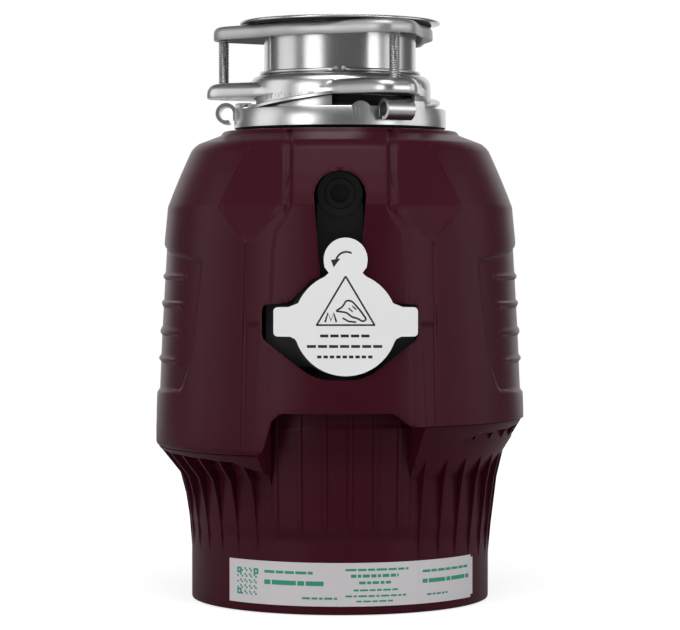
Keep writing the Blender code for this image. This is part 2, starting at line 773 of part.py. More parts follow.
def cut_bolt_holes(body):
    for number, (x, y) in enumerate(bolt_places()):
        hole_r = CHAMBER_BOLT_R + GAP
        name = f"{body.name}_bolt_hole_{number}"
        high = HOPPER_LOW_Z + 3 * CHAMBER_FLANGE
        cut(body, rod(name, hole_r, BOWL_LOW_Z - 1, high, at=(x, y, 0), steps=STEPS_SMALL))


def make_inlet_plug():
    look = material("plug_plastic", BLACK, 0.5)
    outer = INLET_BORE_R - GAP
    front = -INLET_FACE_Y - PLUG_SETBACK
    plug = turned(
        "inlet_plug",
        [
            (0, front - PLUG_RECESS),
            (PLUG_RECESS_R, front - PLUG_RECESS),
            (PLUG_RECESS_R, front),
            (outer, front),
            (outer, front - PLUG_LENGTH),
            (0, front - PLUG_LENGTH),
        ],
        look,
        (0, 0, INLET_Z),
        24,
        False,
    )
    return lay_along_y(plug)


def make_shredder_ring():
    """A hard ring round the turntable. Waste is ground against the notches in its bore."""
    look = material("ring_steel", STEEL, 0.4, 1)
    low = HOPPER_LOW_Z + CHAMBER_FLANGE + 1
    high = low + CHAMBER_RING_HEIGHT
    bore = CHAMBER_RING_BORE_R
    ring = tube("shredder_ring", CHAMBER_RING_R, bore, low, high, look)
    for number in range(24):
        notch = box(
            f"notch_{number}",
            (bore - OVERSHOOT, -NOTCH_WIDTH / 2, low - OVERSHOOT),
            (bore + NOTCH_DEPTH, NOTCH_WIDTH / 2, high - 8),
            turn=15 * number,
        )
        cut(ring, notch)
    return ring


def make_turntable():
    look = material("turntable_steel", STEEL, 0.35, 1)
    bore = SHAFT_R + GAP
    top = TURNTABLE_Z + TURNTABLE_THICK
    table = tube("turntable", TURNTABLE_R, bore, TURNTABLE_Z, top, look, steps=STEPS_LARGE)
    low = TURNTABLE_Z - OVERSHOOT
    high = top + OVERSHOOT
    for side, x in (("1", IMPELLER_PIVOT_R), ("2", -IMPELLER_PIVOT_R)):
        hole_r = IMPELLER_PIN_R + GAP
        cut(table, rod(f"pin_hole_{side}", hole_r, low, high, at=(x, 0, 0), steps=STEPS_SMALL))
    for number in range(8):
        at = (*polar(DRAIN_HOLE_PCD_R, 22.5 + 45 * number), 0)
        cut(table, rod(f"drain_hole_{number}", DRAIN_HOLE_R, low, high, at=at, steps=8))
    return table


def make_impellers():
    """Two steel lugs, each free to swing on its pin."""
    steel = material("impeller_steel", STEEL, 0.35, 1)
    pin_look = material("pin_steel", STEEL, 0.4, 1)
    low = TURNTABLE_Z + TURNTABLE_THICK + GAP
    for side, x in (("1", IMPELLER_PIVOT_R), ("2", -IMPELLER_PIVOT_R)):
        outline = arc(IMPELLER_TAIL_R, 60, 300, 10) + arc(5, -50, 50, 4, (15, 0))
        tip = [(12, -7), (19.5, -5), (19.5, 5), (12, 7)]
        lug = slab(f"impeller_{side}", outline, low, low + IMPELLER_THICK, steel, at=(x, 0, 0))
        nose = slab(f"impeller_nose_{side}", tip, low + 2, low + IMPELLER_HEIGHT)
        nose.location = (x * MM, 0, 0)
        if x < 0:
            lug.rotation_euler.z = math.radians(180)
            nose.rotation_euler.z = math.radians(180)
        hole_r = IMPELLER_PIN_R + GAP
        high = low + IMPELLER_THICK + OVERSHOOT
        name = f"impeller_hole_{side}"
        hole = rod(name, hole_r, low - OVERSHOOT, high, at=(x, 0, 0), steps=STEPS_SMALL)
        join(lug, nose)
        cut(lug, hole)
        head_low = low + IMPELLER_THICK + GAP
        turned(
            f"impeller_pin_{side}",
            [
                (0, head_low + 3),
                (6, head_low + 2),
                (6, head_low),
                (IMPELLER_PIN_R, head_low),
                (IMPELLER_PIN_R, TURNTABLE_Z - 2.5),
                (0, TURNTABLE_Z - 2.5),
            ],
            pin_look,
            (x, 0, 0),
            STEPS_SMALL,
            False,
        )


def make_turntable_nut():
    look = material("nut_steel", STEEL, 0.4, 1)
    low = TURNTABLE_Z + TURNTABLE_THICK + GAP
    high = low + NUT_HEIGHT
    nut = rod("turntable_nut", SHAFT_R - SHAFT_STEP + NUT_WALL, low, high, look, steps=6)
    bore = SHAFT_R - SHAFT_STEP + GAP
    cut(nut, rod("nut_bore", bore, low - OVERSHOOT, high + OVERSHOOT, steps=24))
    return nut


def make_drain_bowl():
    """The bowl under the turntable. Its outlet points to the front, and its hub holds the upper bearing."""
    look = material("bowl_casting", (0.05, 0.05, 0.055), 0.5)
    inner = BOWL_R - BOWL_WALL
    hub_r = BEARING_R + 6
    hub_top = BOWL_LOW_Z + BOWL_HUB_HEIGHT
    skirt_r = FRAME_R - FRAME_WALL
    bowl = turned(
        "drain_bowl",
        [
            (inner, BOWL_HIGH_Z),
            (CHAMBER_FLANGE_R, BOWL_HIGH_Z),
            (CHAMBER_FLANGE_R, BOWL_HIGH_Z - CHAMBER_FLANGE),
            (BOWL_R, BOWL_HIGH_Z - CHAMBER_FLANGE),
            (BOWL_R, BOWL_LOW_Z - BOWL_SKIRT),
            (skirt_r, BOWL_LOW_Z - BOWL_SKIRT),
            (skirt_r, BOWL_LOW_Z),
            (hub_r, BOWL_LOW_Z),
            (hub_r, BOWL_LOW_Z - BEARING_HEIGHT),
            (BEARING_R + GAP, BOWL_LOW_Z - BEARING_HEIGHT),
            (BEARING_R + GAP, BOWL_LOW_Z + GAP),
            (SHAFT_R + RUN, BOWL_LOW_Z + GAP),
            (SHAFT_R + RUN, hub_top),
            (SHAFT_R + 5, hub_top),
            (hub_r, BOWL_LOW_Z + BOWL_FLOOR),
            (inner, BOWL_LOW_Z + BOWL_FLOOR),
        ],
        look,
        steps=STEPS_LARGE,
    )
    at = (0, 0, OUTLET_Z)
    face = -OUTLET_FACE_Y
    half = BOWL_FRONT_WIDTH / 2
    front_low = (-half, BOWL_FRONT_BEHIND - face, BOWL_LOW_Z + 3)
    front_high = (half, 20 - BOWL_R, BOWL_HIGH_Z - 0.01)
    pipe = lay_along_y(rod("outlet_pipe", OUTLET_PIPE_R, BOWL_R - 12, face, at=at))
    rim = lay_along_y(rod("outlet_rim", OUTLET_FLANGE_R, face - OUTLET_FLANGE_THICK, face, at=at))
    front = box("bowl_front", front_low, front_high)
    bore = lay_along_y(rod("outlet_bore", OUTLET_BORE_R, BOWL_R - 25, face + OVERSHOOT, at=at))
    join(bowl, front, pipe, rim)
    kept = turned(
        "bowl_cut",
        [
            (inner, BOWL_HIGH_Z + OVERSHOOT),
            (inner, BOWL_LOW_Z + BOWL_FLOOR),
            (hub_r + 1, BOWL_LOW_Z + BOWL_FLOOR),
            (hub_r + 1, BOWL_HIGH_Z + OVERSHOOT),
        ],
        steps=STEPS_LARGE,
    )
    cut(bowl, kept, bore)
    cut_bolt_holes(bowl)
    for number, (x, y) in enumerate(through_bolt_places()):
        name = f"bowl_through_hole_{number}"
        hole_r = THROUGH_BOLT_R + GAP
        low = BOWL_LOW_Z - BOWL_SKIRT - OVERSHOOT
        cut(bowl, rod(name, hole_r, low, BOWL_LOW_Z - 2, at=(x, y, 0), steps=STEPS_SMALL))
    return bowl


def make_chamber_bolts():
    look = material("bolt_steel", STEEL, 0.4, 1)
    top = HOPPER_LOW_Z + CHAMBER_FLANGE + GAP
    for number, (x, y) in enumerate(bolt_places()):
        turned(
            f"chamber_bolt_{number + 1}",
            [
                (0, top + 3),
                (5, top + 3),
                (5, top),
                (CHAMBER_BOLT_R, top),
                (CHAMBER_BOLT_R, BOWL_HIGH_Z - 8),
                (0, BOWL_HIGH_Z - 8),
            ],
            look,
            (x, y, 0),
            STEPS_SMALL,
            False,
        )


def make_shaft_seal():
    look = material("seal_rubber", BLACK, 0.7)
    low = BOWL_LOW_Z + BOWL_HUB_HEIGHT + GAP
    return tube("shaft_seal", SHAFT_R + 6, SHAFT_R + RUN, low, low + SEAL_HEIGHT, look)


def make_slinger():
    """A disc on the shaft that throws water clear of the seal."""
    look = material("slinger_plastic", BLACK, 0.5)
    low = BOWL_LOW_Z + BOWL_HUB_HEIGHT + GAP + SEAL_HEIGHT + 2
    return tube("slinger", SHAFT_R + 12, SHAFT_R + GAP, low, low + SLINGER_THICK, look)


# ---------------------------------------------------------------- motor


def through_bolt_places():
    return [polar(THROUGH_BOLT_PCD_R, angle) for angle in (0, 90, 180, 270)]


def make_bearings():
    look = material("bearing_steel", BRIGHT, 0.25, 1)
    height = BEARING_HEIGHT - BEARING_SHORTFALL
    tube("upper_bearing", BEARING_R, SHAFT_R + GAP, BOWL_LOW_Z - height, BOWL_LOW_Z, look)
    low = FRAME_Z + FRAME_PLATE + GAP
    tube("lower_bearing", BEARING_R, SHAFT_R + GAP, low, low + height, look)
    washer_low = low + height + GAP
    tube("thrust_washer", SHAFT_R + 5, SHAFT_R + GAP, washer_low, washer_low + 1.5, look, steps=24)


def make_motor_shaft():
    """The shaft, with a hexagon socket in its lower end for freeing a jam by hand."""
    look = material("shaft_steel", BRIGHT, 0.25, 1)
    low = FRAME_Z - 2
    nut_top = TURNTABLE_Z + TURNTABLE_THICK + GAP + NUT_HEIGHT + 1
    shaft = turned(
        "motor_shaft",
        [
            (0, nut_top),
            (SHAFT_R - SHAFT_STEP, nut_top),
            (SHAFT_R - SHAFT_STEP, TURNTABLE_Z),
            (SHAFT_R, TURNTABLE_Z - GAP),
            (SHAFT_R, low),
            (0, low),
        ],
        look,
        steps=24,
        ring=False,
    )
    socket_r = HEX_ACROSS / math.sqrt(3)
    cut(shaft, rod("hex_socket", socket_r, low - OVERSHOOT, low + HEX_DEPTH, steps=6))
    return shaft


def make_rotor_core():
    look = material("rotor_steel", (0.35, 0.35, 0.36), 0.5, 1)
    radius = STATOR_BORE_R - AIR_GAP
    return tube("rotor_core", radius, SHAFT_R + GAP, STATOR_LOW_Z, STATOR_HIGH_Z, look, steps=STEPS_LARGE)


def make_stator():
    look = material("stator_steel", (0.3, 0.3, 0.31), 0.5, 1)
    copper = material("winding_copper", COPPER, 0.35, 1)
    low, high = STATOR_LOW_Z, STATOR_HIGH_Z
    stator = tube("stator_core", STATOR_R, STATOR_BORE_R, low, high, look, steps=STEPS_LARGE)
    for number in range(12):
        notch = box(
            f"stator_slot_{number}",
            (STATOR_BORE_R - 3, -2.5, low - OVERSHOOT),
            (STATOR_BORE_R + 10, 2.5, high + OVERSHOOT),
            turn=30 * number,
        )
        cut(stator, notch)
    for name, low in (
        ("upper_winding", STATOR_HIGH_Z + GAP),
        ("lower_winding", STATOR_LOW_Z - GAP - WINDING_HEIGHT),
    ):
        high = low + WINDING_HEIGHT
        inner, outer = STATOR_BORE_R + 3, STATOR_R - 8
        profile = [
            (inner + WINDING_ROUND, high),
            (outer - WINDING_ROUND, high),
            (outer, high - WINDING_ROUND),
            (outer, low + WINDING_ROUND),
            (outer - WINDING_ROUND, low),
            (inner + WINDING_ROUND, low),
            (inner, low + WINDING_ROUND),
            (inner, high - WINDING_ROUND),
        ]
        turned(name, profile, copper)


def make_lower_end_frame():
    """The casting that closes the motor from below and holds the lower bearing."""
    look = material("end_frame_aluminium", (0.55, 0.55, 0.56), 0.5, 1)
    top = FRAME_Z + FRAME_HEIGHT
    plate_top = FRAME_Z + FRAME_PLATE
    hub_top = plate_top + BEARING_HEIGHT
    inner = FRAME_R - FRAME_WALL
    frame = turned(
        "lower_end_frame",
        [
            (inner, top),
            (FRAME_R, top),
            (FRAME_R, FRAME_Z),
            (SHAFT_R + RUN, FRAME_Z),
            (SHAFT_R + RUN, plate_top),
            (BEARING_R + GAP, plate_top),
            (BEARING_R + GAP, hub_top),
            (BEARING_R + 5, hub_top),
            (BEARING_R + 7, plate_top),
            (inner, plate_top),
        ],
        look,
        steps=STEPS_LARGE,
    )
    low = FRAME_Z - OVERSHOOT
    at = (BUTTON_X, BUTTON_Y, 0)
    cut(frame, rod("button_way", BUTTON_R + RUN, low, plate_top + OVERSHOOT, at=at, steps=20))
    for number, (x, y) in enumerate(through_bolt_places()):
        name = f"frame_through_hole_{number}"
        hole_r = THROUGH_BOLT_R + GAP
        cut(frame, rod(name, hole_r, low, top + OVERSHOOT, at=(x, y, 0), steps=STEPS_SMALL))
    return frame


def make_through_bolts():
    look = material("through_bolt_steel", STEEL, 0.4, 1)
    top = BOWL_LOW_Z - 3
    head = FRAME_Z - GAP
    for number, (x, y) in enumerate(through_bolt_places()):
        turned(
            f"through_bolt_{number + 1}",
            [
                (0, top),
                (THROUGH_BOLT_R, top),
                (THROUGH_BOLT_R, head),
                (THROUGH_BOLT_HEAD_R, head),
                (THROUGH_BOLT_HEAD_R, head - THROUGH_BOLT_HEAD),
                (0, head - THROUGH_BOLT_HEAD),
            ],
            look,
            (x, y, 0),
            STEPS_SMALL,
            False,
        )


def make_start_gear():
    """The parts that start and protect the motor, in the lower end frame and beside the windings."""
    low = FRAME_Z + FRAME_PLATE + GAP
    can = material("capacitor_shell", BLACK, 0.4)
    rod("start_capacitor", CAPACITOR_R, low, low + CAPACITOR_HEIGHT, can, (*CAPACITOR_AT, 0))
    width, depth, height = SWITCH_SIZE
    near = (-width / 2, SWITCH_Y - depth / 2, low)
    far = (width / 2, SWITCH_Y + depth / 2, low + height)
    box("start_switch", near, far, material("switch_plastic", (0.6, 0.55, 0.4), 0.6))
    width, depth, height = PROTECTOR_SIZE
    middle = BUTTON_X - PROTECTOR_OFFSET
    protector = box(
        "overload_protector",
        (middle - width / 2, BUTTON_Y - depth / 2, low),
        (middle + width / 2, BUTTON_Y + depth / 2, low + height),
        material("protector_phenolic", (0.06, 0.03, 0.02), 0.6),
    )
    at = (BUTTON_X, BUTTON_Y, 0)
    top = low + BUTTON_SEAT - 1
    stop = top + BUTTON_TRAVEL + 1.5
    cut(protector, rod("protector_bore", BUTTON_R + RUN, low - OVERSHOOT, stop, at=at, steps=20))
    rod("reset_button", BUTTON_R, BASE_PROUD, top, material("button_red", (0.5, 0.01, 0.01), 0.4), at, 20)
    spring_look = material("reset_spring_wire", STEEL, 0.3, 1)
    outer = BUTTON_R - 1
    tube("reset_spring", outer, outer - SPRING_WALL, top + GAP, stop - GAP, spring_look, at, 16)


# ---------------------------------------------------------------- casing


def cover_wall_r(height):
    """The cover's radius below its crease, where it widens steadily, without the grips' recess."""
    share = (CREASE_Z - height) / (CREASE_Z - FULL_WIDTH_Z)
    return COVER_CREASE_R + (COVER_R - COVER_CREASE_R) * share


def cover_profile(inset):
    """The outside of the cover, moved in by the wall for its inside."""
    upper = [
        (COVER_COLLAR_R - COLLAR_ROUND, COVER_TOP_Z),
        (COVER_COLLAR_R, COVER_TOP_Z - COLLAR_ROUND),
        (COVER_COLLAR_R, COVER_TOP_Z - 2 * COLLAR_ROUND),
        (COVER_COLLAR_R + SHOULDER_FILLET, COVER_TOP_Z - 5),
        (SHOULDER_R, SHOULDER_Z),
        (BEND_R, BEND_Z),
    ]
    lower = [
        (COVER_CREASE_R, CREASE_Z),
        (cover_wall_r(GRIP_TOP_Z) - GRIP_DEPTH, GRIP_TOP_Z),
        (cover_wall_r(GRIP_LOW_Z) - GRIP_DEPTH, GRIP_LOW_Z),
        (cover_wall_r(ARCH_Z), ARCH_Z),
        (COVER_R, FULL_WIDTH_Z),
        (COVER_R, COVER_LOW_EDGE_Z),
    ]
    return [(r - inset, z - inset) for r, z in upper] + [(r - inset, z) for r, z in lower]


def facet_cutter(name, side, inset):
    """A block whose near face cuts one flat facet. The face leans back above the crease."""
    reach = COVER_CREASE_R - FACET_DEPTH - inset
    upper = SHOULDER_R - FACET_TOP_DEPTH - inset
    low = CREASE_Z - FACET_HEIGHT
    top = COVER_TOP_Z - 3.0
    far = COVER_R + 50.0
    outline = [
        (reach, CREASE_Z),
        (reach + FACET_LEAN, low),
        (far, low),
        (far, top),
        (upper, top),
    ]
    block = slab(name, outline, -FACET_WIDTH / 2, FACET_WIDTH / 2, axis="Y")
    block.rotation_euler.z = math.radians(FRONT + side * FACET_ANGLE)
    return block


def slot_outline():
    """The opening in the front: a slot with a round top over a wide part with sloping sides."""
    half = SLOT_WIDTH / 2
    wide = SLOT_WIDE_WIDTH / 2
    left = [
        (-half, SLOT_SHOULDER_Z),
        (SLOT_WIDE_SLOPE - wide, SLOT_WIDE_Z),
        (-wide, SLOT_WIDE_Z),
        (-wide, SLOT_SIDE_Z),
        (-SLOT_LOW_WIDTH / 2, SLOT_LOW_Z),
    ]
    return arc(half, 0, 180, 10, (0, SLOT_TOP_Z - half)) + left + [(-x, z) for x, z in reversed(left)]


def make_outer_cover():
    """The moulded cover: a turned shell with a stepped lower edge, two facets and the front cut-out."""
    look = material("cover_plastic", BURGUNDY, 0.42)
    low = COVER_LOW_EDGE_Z
    room_low = low - OVERSHOOT
    far = COVER_R + 15.0
    outside = cover_profile(0)
    inside = cover_profile(SHELL_WALL)
    outside = [(0, outside[0][1])] + outside + [(0, low)]
    inside = [(0, inside[0][1])] + inside + [(inside[-1][0], room_low), (0, room_low)]
    cover = turned("outer_cover", outside, look, steps=STEPS_LARGE, ring=False)
    room = turned("cover_room", inside, steps=STEPS_LARGE, ring=False)
    for side, sign in (("left", -1), ("right", 1)):
        cut(room, facet_cutter(f"room_facet_{side}", sign, SHELL_WALL))
        cut(cover, facet_cutter(f"facet_{side}", sign, 0))
    hole_low = COVER_TOP_Z - 3 * SHELL_WALL
    cut(cover, room)
    cut(cover, rod("cover_hole", COVER_HOLE_R, hole_low, COVER_TOP_Z + OVERSHOOT, steps=STEPS_LARGE))
    cut(cover, box("edge_cut", (COVER_STEP_X, -far, room_low), (far, far, COVER_HIGH_EDGE_Z)))
    cut(cover, box("arch_cut", (ARCH_LEFT_X, -far, room_low), (ARCH_RIGHT_X, -HOUSING_R, ARCH_Z)))
    cut(cover, slab("slot_cut", slot_outline(), COVER_R - 45, far, axis="Y"))
    return cover


def make_lower_housing():
    """The shell round the motor. It flares out to meet the cover, lower down on the left."""
    look = material("housing_plastic", BURGUNDY, 0.45)
    tongue_top = ARCH_Z - 1
    tongue_in = HOUSING_TONGUE_R - SHELL_WALL
    high = COVER_HIGH_EDGE_Z - GAP
    low = COVER_LOW_EDGE_Z - GAP
    flare = [(HOUSING_R + out, height) for height, out in WIDENING.items()]
    outside = flare[::-1] + [(HOUSING_R, BAND_TOP_Z)]
    inside = [(HOUSING_R - SHELL_WALL, BAND_TOP_Z)]
    inside += [(radius - SHELL_WALL - 1.5, height) for radius, height in flare[1:]]
    shell = turned(
        "lower_housing",
        [
            (tongue_in, tongue_top),
            (HOUSING_TONGUE_R, tongue_top),
            (HOUSING_TONGUE_R, high),
            (HOUSING_FLARE_R, high),
            (HOUSING_FLARE_R, high - FLARE_EDGE),
            *outside,
            (HOUSING_R, 0),
            (HOUSING_LIP_R, 0),
            (HOUSING_LIP_R, HOUSING_FLOOR),
            (HOUSING_R - SHELL_WALL, HOUSING_FLOOR),
            *inside,
        ],
        look,
        steps=STEPS_LARGE,
    )
    shoulder = turned(
        "left_shoulder",
        [
            (HOUSING_TONGUE_R - 1, low),
            (HOUSING_FLARE_R, low),
            (HOUSING_FLARE_R, low - 2),
            (HOUSING_R + 5.8, SHOULDER_LOW_Z),
            (HOUSING_R + 3.3, SHOULDER_LOW_Z),
            (HOUSING_R + 6.3, low - 3),
        ],
        steps=STEPS_LARGE,
    )
    far = COVER_R + 15.0
    foot = SHOULDER_LOW_Z - 10
    above = tongue_top + 20
    step_x = COVER_STEP_X - GAP
    cut(shoulder, box("shoulder_cut", (step_x, -far, foot), (far, far, above)))
    clear = turned(
        "edge_room",
        [(HOUSING_TONGUE_R, above), (far, above), (far, low), (HOUSING_TONGUE_R, low)],
        steps=STEPS_LARGE,
    )
    step_x = COVER_STEP_X + GAP
    cut(clear, box("edge_room_cut", (step_x, -far - 1, foot), (far + 1, far + 1, above + 1)))
    cut(shell, clear)
    join(shell, shoulder)
    return shell


def make_insulation():
    """A foam sleeve between the chamber and the cover, open at the front for the outlet and inlet."""
    look = material("foam", (0.75, 0.75, 0.72), 0.95)
    inner = CHAMBER_FLANGE_R + 1
    inset = SHELL_WALL + FOAM_FIT
    crease = COVER_CREASE_R - inset - GRIP_DEPTH
    foam = turned(
        "insulation_shell",
        [
            (FOAM_NECK_R, BEND_Z + 3),
            (BEND_R - inset - 2, BEND_Z - 3),
            (crease, CREASE_Z - 2),
            (crease + 2, HOPPER_LOW_Z),
            (cover_wall_r(FOAM_LOW_Z) - inset - GRIP_DEPTH, FOAM_LOW_Z),
            (inner, FOAM_LOW_Z),
            (inner, BOWL_HIGH_Z + 14),
            (FOAM_NECK_R, BOWL_HIGH_Z + 18),
        ],
        look,
        steps=48,
    )
    half = FOAM_FRONT_WIDTH / 2
    front = box("foam_front", (-half, -COVER_R, FOAM_LOW_Z - 9), (half, -40, COVER_TOP_Z))
    cut(foam, front)
    return foam


def make_isolation_ring():
    """A rubber ring between the hopper's neck and the cover, which keeps the cover from buzzing."""
    look = material("isolation_rubber", BLACK, 0.8)
    outer = COVER_HOLE_R - ISOLATION_FIT
    inner = HOPPER_FLANGE_R + ISOLATION_FIT
    high = COVER_TOP_Z - 1
    return tube("isolation_ring", outer, inner, high - ISOLATION_HEIGHT, high, look)


def make_base_plate():
    look = material("base_steel", BLACK, 0.4)
    radius = HOUSING_R - SHELL_WALL - RUN
    plate = rod("base_plate", radius, BASE_LOW_Z, BASE_HIGH_Z, look, steps=STEPS_LARGE)
    holes = {
        "hex": (0, 0, HEX_HOLE_R),
        "button": (BUTTON_X, BUTTON_Y, BUTTON_R + RUN),
        "cord": (CORD_X, CORD_Y, CORD_HOLE_R + GAP),
    }
    low = BASE_LOW_Z - OVERSHOOT
    high = BASE_HIGH_Z + OVERSHOOT
    for name, (x, y, radius) in holes.items():
        cut(plate, rod(f"base_hole_{name}", radius, low, high, at=(x, y, 0)))
    return plate


def make_base_fittings():
    """The cord bush, the cover over the wiring space, and the screws."""
    bush_look = material("bush_plastic", BLACK, 0.5)
    bore = CORD_HOLE_R - BUSH_WALL
    flange = CORD_HOLE_R + BUSH_WALL
    under = BASE_LOW_Z - GAP
    turned(
        "cord_bush",
        [
            (bore, BASE_HIGH_Z + 1.5),
            (CORD_HOLE_R, BASE_HIGH_Z + 1.5),
            (CORD_HOLE_R, under),
            (flange, under),
            (flange, BASE_PROUD),
            (bore, BASE_PROUD),
        ],
        bush_look,
        (CORD_X, CORD_Y, 0),
    )
    x, y = TERMINAL_X, TERMINAL_Y
    half_w, half_d = TERMINAL_WIDTH / 2, TERMINAL_DEPTH / 2
    lid_low = under - TERMINAL_THICK
    near = (x - half_w, y - half_d, lid_low)
    far = (x + half_w, y + half_d, under)
    lid = box("terminal_cover", near, far, material("lid_steel", BLACK, 0.4))
    screw_look = material("base_screw_steel", STEEL, 0.4, 1)
    screws = {
        "terminal_cover_screw": (x, y, lid_low),
        "ground_screw": (x + half_w + 10, y - 10, under),
        "base_screw_1": (*polar(BASE_SCREW_PCD_R, 205), under),
        "base_screw_2": (*polar(BASE_SCREW_PCD_R, 335), under),
        "base_screw_3": (*polar(BASE_SCREW_PCD_R, 125), under),
    }
    for name, (screw_x, screw_y, seat) in screws.items():
        at = (screw_x, screw_y, 0)
        head = seat - GAP
        profile = [
            (0, BASE_HIGH_Z),
            (BASE_SCREW_R, BASE_HIGH_Z),
            (BASE_SCREW_R, head),
            (BASE_SCREW_HEAD_R, head),
            (BASE_SCREW_HEAD_R - 0.8, head - 1),
            (0, head - 1),
        ]
        turned(name, profile, screw_look, at, 12, False)
        hole_r = BASE_SCREW_R + GAP
        high = BASE_HIGH_Z + OVERSHOOT
        hole = rod(f"{name}_hole", hole_r, lid_low - OVERSHOOT, high, at=at, steps=12)
        cut(bpy.data.objects["base_plate"], hole)
        if name == "terminal_cover_screw":
            cut(lid, hole)


def make_transit_card():
    """A thin card over the outlet: a disc with a tab each side, and a pull tab on top."""
    look = material("white_card", (0.8, 0.8, 0.8), 0.6)
    half = CARD_WIDTH / 2
    low_turn = math.degrees(math.asin((CARD_TAB_LOW_Z - OUTLET_Z) / CARD_R))
    high_turn = math.degrees(math.asin((CARD_TAB_HIGH_Z - OUTLET_Z) / CARD_R))
    outline = arc(CARD_R, 180 - low_turn, 360 + low_turn, 24, (0, OUTLET_Z))
    outline += [(half - 2, CARD_TAB_LOW_Z), (half, CARD_TAB_LOW_Z + 2)]
    outline += [(half, CARD_TAB_HIGH_Z - 2), (half - 2, CARD_TAB_HIGH_Z)]
    outline += arc(CARD_R, high_turn, CARD_NECK_ANGLE, 5, (0, OUTLET_Z))
    outline += arc(CARD_PULL_R, -15, 195, 12, (0, CARD_PULL_Z))
    outline += arc(CARD_R, 180 - CARD_NECK_ANGLE, 180 - high_turn, 5, (0, OUTLET_Z))
    outline += [(-half + 2, CARD_TAB_HIGH_Z), (-half, CARD_TAB_HIGH_Z - 2)]
    outline += [(-half, CARD_TAB_LOW_Z + 2), (-half + 2, CARD_TAB_LOW_Z)]
    at = (CARD_X, 0, 0)
    return slab("transit_card", outline, COVER_R - CARD_THICK, COVER_R, look, "Y", at)


def make_rating_label():
    look = material("label_film", (0.62, 0.58, 0.6), 0.5)
    inner = HOUSING_R + GAP
    section = [
        (inner, LABEL_LOW_Z),
        (inner + LABEL_THICK, LABEL_LOW_Z),
        (inner + LABEL_THICK, LABEL_HIGH_Z),
        (inner, LABEL_HIGH_Z),
    ]
    return swept("rating_label", section, FRONT - LABEL_LEFT, LABEL_LEFT + LABEL_RIGHT, 24, look)


make_sink_flange()
make_sink_gasket()
make_backing_flange()
make_mounting_screws()
make_mounting_ring()
make_snap_ring()
make_lock_ring()
make_mounting_gasket()
make_splash_baffle()
make_hopper()
make_inlet_plug()
make_shredder_ring()
make_turntable()
make_impellers()
make_turntable_nut()
make_drain_bowl()
make_chamber_bolts()
make_shaft_seal()
make_slinger()
make_bearings()
make_motor_shaft()
make_rotor_core()
make_stator()
make_lower_end_frame()
make_through_bolts()
make_start_gear()
make_outer_cover()
make_lower_housing()
make_insulation()
make_isolation_ring()
make_base_plate()
make_base_fittings()
make_transit_card()
make_rating_label()
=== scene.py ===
import json
import math

import bpy
import numpy as np
from mathutils import Matrix, Vector


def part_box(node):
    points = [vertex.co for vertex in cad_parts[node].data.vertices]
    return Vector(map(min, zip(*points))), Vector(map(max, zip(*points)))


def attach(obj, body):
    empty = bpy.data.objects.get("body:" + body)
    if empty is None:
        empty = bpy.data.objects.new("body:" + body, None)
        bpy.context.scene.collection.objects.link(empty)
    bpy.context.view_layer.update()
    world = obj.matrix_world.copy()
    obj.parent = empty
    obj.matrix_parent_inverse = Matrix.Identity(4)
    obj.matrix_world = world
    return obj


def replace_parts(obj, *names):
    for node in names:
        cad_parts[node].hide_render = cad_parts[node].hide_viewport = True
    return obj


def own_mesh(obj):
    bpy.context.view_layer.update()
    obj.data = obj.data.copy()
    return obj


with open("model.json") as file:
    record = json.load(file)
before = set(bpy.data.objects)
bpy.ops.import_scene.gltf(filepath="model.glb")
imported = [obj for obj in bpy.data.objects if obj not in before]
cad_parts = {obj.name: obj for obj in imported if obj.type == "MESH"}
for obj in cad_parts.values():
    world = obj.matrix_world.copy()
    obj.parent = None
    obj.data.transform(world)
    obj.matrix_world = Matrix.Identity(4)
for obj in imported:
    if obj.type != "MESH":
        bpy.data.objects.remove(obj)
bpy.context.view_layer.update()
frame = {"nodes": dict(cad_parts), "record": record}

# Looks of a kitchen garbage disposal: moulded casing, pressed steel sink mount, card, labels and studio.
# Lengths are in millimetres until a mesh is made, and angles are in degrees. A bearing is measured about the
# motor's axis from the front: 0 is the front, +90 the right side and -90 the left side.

MM = 0.001


# ------------------------------------------------------------------ studio
# A plain pale floor, with soft boxes at both sides, two in front, one above and a broad one behind.
# The lamps don't show to the camera, so the backdrop stays plain white.

scene = bpy.context.scene
scene.view_settings.view_transform = "Standard"
camera_data = bpy.data.cameras.new("camera")
camera_data.lens = 140.7
camera_data.clip_end = 20
camera = bpy.data.objects.new("camera", camera_data)
camera.location = (0, -1.52, 0.203)
camera.rotation_euler = (math.radians(90 - 1.6), 0, 0)
scene.collection.objects.link(camera)
scene.camera = camera


def linear(code):
    """A hex colour as it shows on a screen, turned into linear light."""
    parts = [int(code[place:place + 2], 16) / 255 for place in (0, 2, 4)]
    return tuple(c / 12.92 if c <= 0.04045 else ((c + 0.055) / 1.055) ** 2.4 for c in parts) + (1.0,)


def add_node(tree, kind, settings=None, links=None):
    """Adds a node. Settings go to its properties, or to its inputs by name or place."""
    made = tree.nodes.new(kind)
    for key, value in (settings or {}).items():
        if isinstance(key, int) or key in made.inputs:
            made.inputs[key].default_value = value
        else:
            setattr(made, key, value)
    for key, socket in (links or {}).items():
        tree.links.new(socket, made.inputs[key])
    return made


